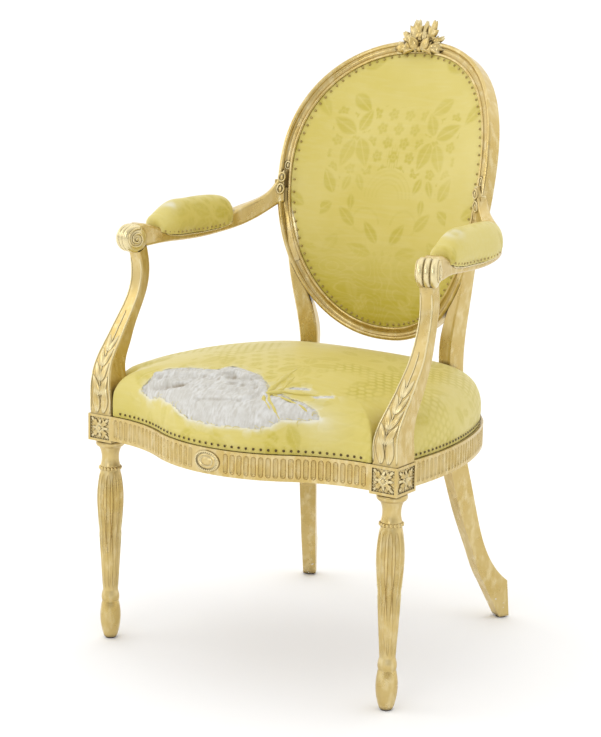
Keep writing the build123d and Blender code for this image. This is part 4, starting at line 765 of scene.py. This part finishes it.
def back_y(x, z):
    """Front surface of the dished back."""
    return FRONT_Y + 380 + (z - 457) ** 2 / 2300 - x**2 / (2 * DISH_RADIUS)


def oval_width(level, grow):
    """Half width of the oval at a level from -1 to 1."""
    side = np.maximum(1 - np.abs(level) ** OVAL_SQUARE, 0) ** (1 / OVAL_SQUARE)
    return (OVAL_WIDE + grow) * side * (1 + OVAL_EGG * level)


def oval_ring(grow, count):
    """Points round the oval in front view."""
    turns = np.linspace(0, ROUND, count, endpoint=False)
    level = np.sign(np.sin(turns)) * np.abs(np.sin(turns)) ** (2 / OVAL_SQUARE)
    across = oval_width(level, grow) * np.sign(np.cos(turns))
    return even_ring(list(zip(across, OVAL_Z + (OVAL_TALL + grow) * level)), count)


def cover_y(x, z, set_back, crown):
    """Depth of the crowned cover inside the oval."""
    level = np.clip((z - OVAL_Z) / (OVAL_TALL - PAD_GAP), -0.9999, 0.9999)
    side = np.maximum(oval_width(level, -PAD_GAP), np.abs(x) + 1e-3)
    edge, middle = back_y(side, z), back_y(0, z) - crown * (1 - level**2)
    return edge + set_back + (middle - edge) * (1 - (x / side) ** 2)


back_ring = oval_ring(1.3, BACK_COLUMNS)


def back_points(set_back, crown):
    """Rings of a panel inside the oval."""
    rings = []
    for s in np.linspace(1, 0.002, BACK_ROWS):
        x, z = back_ring[:, 0] * s, OVAL_Z + (back_ring[:, 1] - OVAL_Z) * s
        rings.append(np.column_stack([x, cover_y(x, z, set_back, crown), z]))
    return np.array(rings)


back_front = back_points(BACK_SET, BACK_CROWN)
for row in range(BACK_TACKED_ROWS):
    back_front[row][:, 1] += 0.8 * near_tacks(back_front[row], "back_tacks", 6)
lean = back_front[0][:, 0] / DISH_RADIUS
back_front[0][:, 0] += 3.5 * lean
rim = back_front[0] + np.column_stack([7.0 * lean, np.full(BACK_COLUMNS, 9.0), np.zeros(BACK_COLUMNS)])
flat_back = np.concatenate([rim[None], back_front]).reshape(-1, 3)
back_figure = damask_figure(flat_back[:, 0], flat_back[:, 2] - OVAL_Z)
# The lower back is turned towards the darker, duller figure colour as painted shade, crossed by lighter
# tangled lines.
painted_low_shade = unit((OVAL_Z - 62 - flat_back[:, 2] - 0.12 * flat_back[:, 0]) / 110)
tangle = np.abs(np.sin(15 * ripple(flat_back * [1, 0, 1], 0.022, 6.0)))
tangled_lines_in_painted_shade = 1.0 - 0.45 * back_figure - 0.4 * unit(1 - tangle / 0.45)
back_figure = 0.8 * back_figure * (1 - painted_low_shade) + painted_low_shade * tangled_lines_in_painted_shade
back_cover = silk_piece("back_cover_silk", flat_back, grid_faces(BACK_ROWS + 1, BACK_COLUMNS),
                        unit(back_figure), np.zeros(len(flat_back)))
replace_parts(back_cover, "back_cover", "back_stuffing", "back_webbing")
print("back cover faces:", len(back_cover.data.polygons))

# %% [markdown]
# Behind, a piece of the same silk closes the oval. It is a single stretched sheet with a slight
# slackness, so it is one curved surface and not a pad.

# %% Outside back
OUTSIDE_DEPTH = 20.4
outside = back_points(0.0, 0.0)
lean = outside[..., 0] / DISH_RADIUS
outside[..., 0] += OUTSIDE_DEPTH * lean / np.hypot(1, lean)
outside[..., 1] += OUTSIDE_DEPTH / np.hypot(1, lean)
outside[..., 1] += 0.6 * ripple(outside.reshape(-1, 3), 0.012, 2.0).reshape(outside.shape[:2])
flat_outside = outside.reshape(-1, 3)
outside_faces = [f[::-1] for f in grid_faces(BACK_ROWS, BACK_COLUMNS)]
outside_back = silk_piece("outside_back_silk", flat_outside, outside_faces,
                          0.8 * damask_figure(flat_outside[:, 0], flat_outside[:, 2] - OVAL_Z),
                          np.zeros(len(flat_outside)))
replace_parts(outside_back, "outside_back_cover")

# %% [markdown]
# Under the seat the straps of webbing pass over and under each other. The construction has them as flat
# bands, so each is copied, divided and bent up and down by its place in the weave.

# %% Webbing and base cloth
STRAP_PITCH = 69.6


def over_under(x, y):
    """Up and down of the weave between straps."""
    return 0.5 * math.cos(math.pi * x / STRAP_PITCH) * math.cos(math.pi * (y - SEAT_MIDDLE) / STRAP_PITCH)


def laid_band(name, source, finish, pitch, bend):
    """A copy of flat construction cloth, divided and bent."""
    work = bmesh.new()
    work.from_mesh(wood[source].data)
    bmesh.ops.remove_doubles(work, verts=work.verts, dist=1e-5)
    low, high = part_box(source)
    for axis in (0, 1):
        normal = Vector((axis == 0, axis == 1, 0))
        for place in np.arange(low[axis] + pitch, high[axis], pitch):
            everything = work.verts[:] + work.edges[:] + work.faces[:]
            bmesh.ops.bisect_plane(work, geom=everything, plane_co=normal * place, plane_no=normal)
    for vertex in work.verts:
        vertex.co.z += bend(vertex.co.x / MM, vertex.co.y / MM) * MM
    mesh = bpy.data.meshes.new(name)
    work.to_mesh(mesh)
    work.free()
    piece = ride_on_chair(name, mesh, finish)
    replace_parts(piece, source)
    low = [min(v.co[i] for v in mesh.vertices) for i in (0, 1)]
    high = [max(v.co[i] for v in mesh.vertices) for i in (0, 1)]


laid_band("seat_straps_long", "seat_webbing_long", jute, 0.014,
          lambda x, y: over_under(x + STRAP_PITCH / 2, y) - 0.6)
laid_band("seat_straps_cross", "seat_webbing_cross", jute, 0.014,
          lambda x, y: -over_under(x + STRAP_PITCH / 2, y) + 0.1)
laid_band("seat_base_linen", "seat_base_cloth", linen, 0.03,
          lambda x, y: 0.3 + 0.2 * math.sin(x / 23) * math.sin(y / 31))

# %% [markdown]
# A carver works every ornament here from one form, a leaf: a pointed blade, high along its ribs and cut
# down the middle. The helper below makes one closed leaf from its root, its direction and its size. A
# second helper lays points on the surface of a wooden piece, so that leaves follow its curves.

# %% Carver's leaf


def leaf_form(length, wide, high, lobes=0, curl=0.0, rows=29, columns=9):
    """Points of a leaf as (along, across, height), its underside last, and its faces."""
    top, under = [], []
    for i in range(rows):
        t = i / (rows - 1)
        half = wide / 2 * math.sin(math.pi * min(1, t * 0.94 + 0.03) ** 0.8) ** 0.85
        tooth = (lobes * t) % 1 if lobes else 0
        if lobes:
            half *= 0.66 + 0.42 * tooth
        for j in range(columns):
            s = 2 * j / (columns - 1) - 1
            swell = (1 - 0.85 * s * s) * (0.35 + 0.65 * math.sin(math.pi * min(1, t + 0.08)))
            vein = 0.55 * math.exp(-((s / 0.2) ** 2)) * (1 - t)
            rib = 0.12 * math.cos(lobes * 2 * math.pi * (t - 0.25 * abs(s))) if lobes else 0
            along = (t + 0.1 * tooth * s * s) * length
            top.append((along, s * half, high * max(0.06, swell - vein + rib) + curl * t * t))
            under.append((along, s * half * 0.98, -0.6 + curl * t * t * 0.8))
    count = rows * columns
    faces = grid_faces(rows, columns, closed=False)
    faces += [f[::-1] for f in grid_faces(rows, columns, closed=False, first=count)]
    edge = list(range(columns)) + [i * columns + columns - 1 for i in range(1, rows)]
    edge += [(rows - 1) * columns + j for j in range(columns - 2, -1, -1)]
    edge += [i * columns for i in range(rows - 2, 0, -1)]
    faces += [(a, count + a, count + b, b) for a, b in zip(edge, edge[1:] + edge[:1])]
    return np.array(top + under), faces


class Carving:
    """Leaves, beads and ribs gathered into one piece."""

    def __init__(self):
        self.points, self.faces = [], []

    def add(self, points, faces):
        """More points, with faces counted from the first of them."""
        first = len(self.points)
        self.points += [tuple(p) for p in points]
        self.faces += [tuple(first + k for k in f) for f in faces]

    def leaf(self, root, along, out, length, wide, high, lobes=0, curl=0.0):
        """A free leaf from its root along a direction, its face turned outward."""
        along = Vector(along).normalized()
        across = Vector(out).cross(along).normalized()
        out = along.cross(across)
        local, faces = leaf_form(length, wide, high, lobes, curl)
        self.add([Vector(root) + along * p + across * q + out * h for p, q, h in local], faces)

    def bead(self, center, out, radius, flat=0.8, rings=5, turns=12):
        """A small domed bead."""
        out = Vector(out).normalized()
        side = out.orthogonal().normalized()
        other = out.cross(side)
        points = [Vector(center) + out * radius * flat]
        for ring in range(1, rings + 1):
            dip = 0.5 * math.pi * ring / rings * 1.15
            for turn in circle(turns):
                spread = (side * math.cos(turn) + other * math.sin(turn)) * math.sin(min(dip, QUARTER))
                points.append(Vector(center) + spread * radius + out * radius * flat * math.cos(dip))
        faces = [(0, 1 + t, 1 + (t + 1) % turns) for t in range(turns)]
        for ring in range(rings - 1):
            for t in range(turns):
                a, b = 1 + ring * turns + t, 1 + ring * turns + (t + 1) % turns
                faces.append((a, a + turns, b + turns, b))
        faces.append(tuple(1 + (rings - 1) * turns + t for t in range(turns - 1, -1, -1)))
        self.add(points, faces)

    def rib(self, path, radius, closed=False, turns=8):
        """A round rib along points."""
        path = [Vector(p) for p in path]
        count, points = len(path), []
        for i, spot in enumerate(path):
            before = path[i - 1] if i or closed else spot
            after = path[(i + 1) % count] if i < count - 1 or closed else spot
            along = (after - before).normalized()
            side = along.cross(Vector((0.13, 0.21, 0.97))).normalized()
            other = along.cross(side)
            thick = radius if closed or 0 < i < count - 1 else radius * 0.4
            for turn in circle(turns):
                points.append(spot + (side * math.cos(turn) + other * math.sin(turn)) * thick)
        faces, last = grid_faces(count, turns), (count - 1) * turns
        if closed:
            faces += [(last + t, last + (t + 1) % turns, (t + 1) % turns, t) for t in range(turns)]
        else:
            faces += [tuple(range(turns - 1, -1, -1)), tuple(range(last, last + turns))]
        self.add(points, faces)

    def mirrored(self):
        """The same carving with its left-hand partner."""
        count = len(self.points)
        self.points += [(-x, y, z) for x, y, z in self.points]
        self.faces += [tuple(count + k for k in reversed(f)) for f in self.faces]

    def piece(self, name):
        """The finished piece, with its faces turned outward."""
        made = make_piece(name, self.points, self.faces, gilding)
        work = bmesh.new()
        work.from_mesh(made.data)
        bmesh.ops.recalc_face_normals(work, faces=work.faces)
        work.to_mesh(made.data)
        work.free()
        print(name, len(made.data.polygons), "faces")
        return made


def surface_of(name):
    """A wooden piece's surface for laying carving on, in millimetres."""
    mesh = wood[name].data
    faces = [tuple(p.vertices) for p in mesh.polygons]
    return BVHTree.FromPolygons([v.co / MM for v in mesh.vertices], faces)


# %% [markdown]
# The arm pads are small, round and tight. Each is drawn as slices along the arm. A ray from outside finds
# the construction's pad at every place of a slice, so the silk has the pad's own size, with its edge turned
# in and drawn down at the tacks. A gilt lip on the arm follows the edge.

# %% Arm pads
PAD_SLICES, PAD_STEPS, PAD_CAP, PAD_X, PAD_MIDDLE_Z, PAD_TURN = 64, 49, 7, 258, 646, 0.02
EDGE_PLACES = (-98, -90, -84, -72, -50, 14, 55, 80, 90)
EDGE_LIFTS = (22, 14, 7, 3, 0, 0, 2, 9, 14)


def edge_level(y):
    """Height of the pad's tacked edge along the arm."""
    return 628 + np.interp(y, EDGE_PLACES, EDGE_LIFTS)


def pad_slice(surface, y, middle_x):
    """Points over one slice of a pad, from its inner edge over the top to its outer edge."""
    def cast(turn):
        way_out = Vector((math.sin(turn), 0, math.cos(turn)))
        return surface.ray_cast(Vector((middle_x, y, PAD_MIDDLE_Z)) + way_out * 60, -way_out, 58)[0]

    edges, limits = [], []
    for side in (-1, 1):
        turn, spot = 0.0, cast(0.0)
        while turn < 2.4 and spot is not None:
            further = cast(side * (turn + PAD_TURN))
            if further is None or further.z < edge_level(y):
                break
            turn, spot = turn + PAD_TURN, further
        if spot is None or turn < 0.5:
            return None
        limits.append(side * turn)
        edges.append(Vector((spot.x, y, edge_level(y))))
    return [edges[0]] + [cast(turn) for turn in np.linspace(*limits, PAD_STEPS)] + [edges[1]]


def pad_slices(surface, name, sign):
    """All slices of one pad, lower at the front and drawn in at the tacks."""
    low, high = (np.array(corner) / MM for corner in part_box(name))
    slices = []
    for y in np.linspace(low[1] + 17, high[1] - 6.0, PAD_SLICES):
        reach = [surface.ray_cast(Vector((sign * PAD_X + far, y, 652)), Vector((-np.sign(far), 0, 0)), 90)[0]
                 for far in (-80, 80)]
        row = pad_slice(surface, y, (reach[0].x + reach[1].x) / 2 if all(reach) else sign * 256)
        if row and all(p is not None for p in row):
            slices.append(np.array([tuple(p) for p in row]))
    slices = np.array(slices)
    edge_now = slices[:, :1, 2]
    from_front = unit((slices[..., 1] - slices[0, 0, 1]) / 48)
    slices[..., 2] = edge_now + (slices[..., 2] - edge_now) * (0.6 + 0.4 * np.sin(from_front * math.pi / 2))
    ease(slices, 3)
    center = slices.mean(axis=1, keepdims=True)
    slices += (slices - center) * 0.015
    drawn_in = near_tacks(slices.reshape(-1, 3), "arm_pad_tacks", 8).reshape(slices.shape[:2])
    return slices + (center - slices) * (0.05 * drawn_in)[..., None]


def pad_cap(row, deep):
    """Rows that close one end of a pad."""
    hub = row.mean(axis=0)
    return [hub + (row - hub) * math.cos(t) + np.array([0, deep * math.sin(t), 0])
            for t in np.linspace(0, QUARTER, PAD_CAP)[1:]]


for side, sign in (("left", -1), ("right", 1)):
    slices = pad_slices(surface_of("arm_pad_cover_" + side), "arm_pad_cover_" + side, sign)
    rows = np.array(pad_cap(slices[0], -9.0)[::-1] + list(slices) + pad_cap(slices[-1], 5.0))
    from_end = np.minimum(np.arange(len(rows)), np.arange(len(rows))[::-1])
    ends = rows[:, [0, -1]]
    turned = ends + (rows.mean(axis=1, keepdims=True) - ends) * np.array([0.10, 0, 0.0])
    turned[..., 2] -= (0.6 + 4 * unit(1 - from_end / 14))[:, None]
    rows = np.concatenate([turned[:, :1], rows, turned[:, 1:]], axis=1)
    points = rows.reshape(-1, 3)
    arc = np.cumsum(np.linalg.norm(np.diff(rows, axis=1, prepend=rows[:, :1]), axis=2), axis=1).reshape(-1)
    wear = spot_on(points[:, 1], points[:, 2], (-62, 676), (13, 7)) * (0.55 + 0.7 * ripple(points, 0.09, 4.0))
    pad = silk_piece("arm_pad_silk_" + side, points, grid_faces(*rows.shape[:2], closed=False),
                     0.7 * damask_figure(arc * sign + 40, points[:, 1] + 60), np.clip(wear, 0, 0.85))
    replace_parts(pad, "arm_pad_cover_" + side, "arm_pad_stuffing_" + side)
    print(pad.name, len(pad.data.polygons), "faces")
right_pad_edges = (slices[:, 0], slices[:, -1])

# %% [markdown]
# A leafy rosette fills each square block: four long leaves to the corners, four short ones between, a
# domed eye, and a border of small beads.

# %% Block rosettes
rosettes = Carving()
UP = Vector((0, 0, 1))
for middle, across, out, half_wide in (((256, -225, 344), (1, 0, 0), (0, -1, 0), 17),
                                       ((276.5, -201, 344), (0, 1, 0), (1, 0, 0), 20.5)):
    middle, across, out = Vector(middle), Vector(across), Vector(out)
    for x, z in ((1, 1), (-1, 1), (1, -1), (-1, -1)):
        rosettes.leaf(middle + out * 0.4, across * x * half_wide + UP * z * 16, out, 21.5, 10.5, 3.2, 3)
    for x, z, far in ((1, 0, half_wide - 2), (-1, 0, half_wide - 2), (0, 1, 14), (0, -1, 14)):
        rosettes.leaf(middle + out * 0.2, across * x + UP * z, out, far, 8.0, 2.6, 2)
    rosettes.bead(middle + out * 1.6, out, 3.4)
    for k in range(-3, 4):
        for edge in (1, -1):
            rosettes.bead(middle + across * (k * half_wide / 3.3) + UP * edge * 16.2 + out * 0.2, out, 1.2)
            rosettes.bead(middle + across * edge * half_wide + UP * (k * 15.6 / 3.4) + out * 0.2, out, 1.2)
rosettes.mirrored()
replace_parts(rosettes.piece("block_rosettes"), "corner_rosettes")

# %% [markdown]
# In the middle of the front rail sits an oval patera: a flat plate with a beaded rim, a raised ring and
# an oval boss. It is turned up as rings of an ellipse, bent to the bow of the rail.

# %% Rail patera
PATERA_Y, PATERA_Z, PATERA_TURNS, PATERA_BEADS = FACE_Y - SERPENTINE, 346.0, 56, 34
PATERA_RINGS = ((1.0, -0.6), (1.0, 1.6), (0.97, 2.4), (0.9, 2.6), (0.84, 1.4), (0.74, 1.3), (0.68, 2.4),
                (0.61, 2.9), (0.55, 2.3), (0.5, 0.8), (0.42, 1.2), (0.36, 2.4), (0.24, 3.2), (0.1, 3.5))
patera = Carving()


def on_rail(x, z, out):
    """Point in front of the bowed rail, seen from the patera's middle."""
    return (x, PATERA_Y + x * x / (2 * BOW_RADIUS) - out, PATERA_Z + z)


points = []
for share, out in PATERA_RINGS:
    for turn in circle(PATERA_TURNS):
        points.append(on_rail(22 * share * math.cos(turn), 15.3 * share * math.sin(turn), out))
patera.add(points, capped_faces(len(PATERA_RINGS), PATERA_TURNS))
for turn in circle(PATERA_BEADS):
    patera.bead(on_rail(19.1 * math.cos(turn), 13.2 * math.sin(turn), 2.2), (0, -1, 0), 1.25)
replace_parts(patera.piece("rail_patera_carved"), "rail_patera")

# %% [markdown]
# Three husks climb the oval where each arm grows out of it. Each is an oval ring with a leaf in it, and
# they shrink towards the top. They are laid on the moulding itself.

# %% Bell flowers
bells = Carving()
oval_trees = [surface_of(name) for name in ("crest_rail", "lower_back_rail", "rear_leg_right", "arm_right")]
climb = Vector((-0.14, 0.1, 1)).normalized()
for x, z, scale in ((182.5, 689, 1.05), (180.5, 708, 0.95), (180.5, 726, 0.85)):
    hits = [oval_tree.ray_cast(Vector((x, -300, z)), Vector((0, 1, 0)))[0] for oval_tree in oval_trees]
    spot = min((hit for hit in hits if hit), key=lambda hit: hit.y)
    out = Vector((-x / DISH_RADIUS * 0.9, -1, 0.2)).normalized()
    across = climb.cross(out).normalized()
    loop = [spot + out * 0.8 + across * 5.2 * scale * math.cos(t) + climb * 7.4 * scale * math.sin(t)
            for t in np.linspace(0, ROUND, 25)[:-1]]
    bells.rib(loop, 1.7 * scale, closed=True)
    bells.leaf(spot - climb * 6.0 * scale + out * 0.4, climb, out, 12 * scale, 6.4 * scale, 3.0 * scale)
bells.mirrored()
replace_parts(bells.piece("bell_flowers"), "husk_carvings")

# %% [markdown]
# The arm posts carry laurel on their front: pairs of leaves that climb from a long calyx at the foot,
# with a raised fillet down each edge. Heights are laid on the post's own surface.

# %% Laurel on the arm posts
EDGE_ROOM = 2.2
post = surface_of("arm_support_right")
laurel = Carving()


def on_post(x, z):
    """Point and outward direction on the front of the right-hand post."""
    return post.ray_cast(Vector((x, FRONT_Y - 120, z)), Vector((0, 1, 0)))[:2]


def measured_span(z):
    """Left and right edge of the post's front at a height, found by rays."""
    xs = [x for x in np.arange(225, 300, 0.5) if on_post(x, z)[0] is not None]
    return min(xs), max(xs)


span_levels = np.arange(366.5, 600, 3.0)
span_table = np.array([measured_span(z) for z in span_levels])


def post_span(z):
    """Edges of the post's front, from the measured table."""
    return np.interp(z, span_levels, span_table[:, 0]), np.interp(z, span_levels, span_table[:, 1])


def lay_leaf(z_root, side, lean, length, wide, high, start=1.2):
    """A leaf laid on the post's front from its middle line."""
    local, faces = leaf_form(length, wide, high)
    placed = []
    for p, q, h in local:
        z = z_root + p * math.cos(lean) - side * q * math.sin(lean)
        left, right_edge = post_span(z)
        x = (left + right_edge) / 2 + side * (start + p * math.sin(lean)) + q * math.cos(lean)
        x = min(max(x, left + EDGE_ROOM), right_edge - EDGE_ROOM)
        base, out = on_post(x, z)
        placed.append(base + out * h if base is not None else Vector((x, FRONT_Y, z)))
    laurel.add(placed, faces)


for side in (1, -1):
    lay_leaf(368, side, 0.1, 42, 15, 3.0, start=6.0)
    for step in range(4):
        length, wide, high = 31 - 2.5 * step, 11.5 - 1.1 * step, 3.2 - 0.3 * step
        lay_leaf(396 + 21 * step, side, 0.42 - 0.04 * step, length, wide, high)
    fillet = []
    for z in np.arange(369, 598, 6.0):
        left, right_edge = post_span(z)
        fillet.append(on_post(right_edge - 1.6 if side > 0 else left + 1.6, z))
    laurel.rib([base + out * 0.1 for base, out in fillet if base is not None], 1.3)
stem = [on_post(sum(post_span(z)) / 2, z) for z in np.arange(392, 520, 5.0)]
laurel.rib([base + out * 0.2 for base, out in stem if base is not None], 1.0)
laurel.mirrored()
laurel.piece("post_laurel")

# %% [markdown]
# Each arm ends in a scroll that is turned a little outward. Three fat reeds roll over its front, a rib
# wound inward makes the volute on both cheeks, and a thin lip runs along the arm below the pad.

# %% Scrolls and lips
scrolls = Carving()
FLARE, SCROLL_RADIUS, ARM_WIDTH = math.radians(20), 21.0, 29.0
PLATE_TURNS, SPIRAL_STEPS = 40, 64
PLATE_RINGS = ((17.5, -1.2), (16.5, 0.0), (9, 0.8), (3, 1.2))
scroll_middle = Vector((266, FRONT_Y + 64, 628))
scroll_across = Vector((math.cos(FLARE), math.sin(FLARE), 0))
scroll_front = Vector((math.sin(FLARE), -math.cos(FLARE), 0))


def on_scroll(across, radius, turn):
    """Point at a turn round the scroll, 0 to the front and a quarter up."""
    spot = scroll_middle + scroll_across * across + scroll_front * radius * math.cos(turn)
    return spot + Vector((0, 0, radius * math.sin(turn)))


for reed in (-1, 0, 1):
    over = [on_scroll(reed * ARM_WIDTH / 3, SCROLL_RADIUS - 4.0, t) for t in np.linspace(2.15, -1.9, 34)]
    scrolls.rib(over, 4.75, turns=16)
for cheek in (1, -1):
    face_at = cheek * (ARM_WIDTH / 2 + 0.4)
    plate = [on_scroll(face_at + cheek * out, far, t) for far, out in PLATE_RINGS
             for t in np.linspace(0, ROUND, PLATE_TURNS, endpoint=False)]
    scrolls.add(plate, capped_faces(len(PLATE_RINGS), PLATE_TURNS))
    spiral = [on_scroll(face_at + cheek * (0.3 + 0.9 * share), 17.2 - 12.6 * share**0.8, 2.0 - share * 10.6)
              for share in (k / (SPIRAL_STEPS - 1) for k in range(SPIRAL_STEPS))]
    scrolls.rib(spiral, 1.9, turns=10)
    scrolls.bead(on_scroll(face_at + cheek * 1.0, 0, 0), scroll_across * cheek, 3.4, 0.7)
arm_tree = surface_of("arm_right")
for edge in right_pad_edges:
    nearest = [arm_tree.find_nearest(Vector((x, y, z - 2.4)))[:2] for x, y, z in edge[2:-2]]
    scrolls.rib([spot + out * 0.4 for spot, out in nearest], 1.5)
scrolls.mirrored()
scrolls.piece("arm_scrolls")

# %% [markdown]
# The cresting is a spray of jagged leaves that stands on the top of the oval: a tall one left of the middle,
# a bud, a curled one to the right, and two long ones lying along the rail. Every leaf is free at its tip.

# %% Cresting
crest = Carving()
CREST_Z, FRONT_WAY = OVAL_Z + OVAL_TALL, Vector((0, -1, 0.3))
crest_y = back_y(0, CREST_Z)
for x, z, lean, length, wide, high, lobes, curl, set_back in (
    (-15, 12, 0.04, 40.5, 36, 6.5, 4, -6.0, 9), (-21, 11, 0.62, 26, 19, 5.5, 3, 3.0, 5),
    (4, 17, -0.08, 34, 15, 6.0, 2, -2.0, 9), (15, 15, -0.36, 38, 22, 6.0, 3, 6.0, 8),
    (20, 12, -1.0, 27, 18, 5.0, 3, -3.0, 6), (-12, 6, 1.50, 48, 23, 6.5, 3, -8.0, -2),
    (8, 7, -1.45, 42, 23, 6.5, 3, -8.0, -2), (-6, 5, 0.5, 24, 18, 5.0, 0, 4.0, -3),
    (6, 5, -0.6, 24, 17, 5.0, 0, 4.0, -3),
):
    way_up = (-math.sin(lean), 0.1, math.cos(lean))
    crest.leaf((x * 0.8, crest_y + set_back, CREST_Z + z), way_up, FRONT_WAY, length, wide, high, lobes, curl)
for x, z, radius in ((0, 7, 5.0), (-7, 5, 3.6), (8, 5, 3.6)):
    crest.bead((x, crest_y - 1, CREST_Z + z), FRONT_WAY, radius)
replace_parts(crest.piece("crest_spray"), "crest_carving")
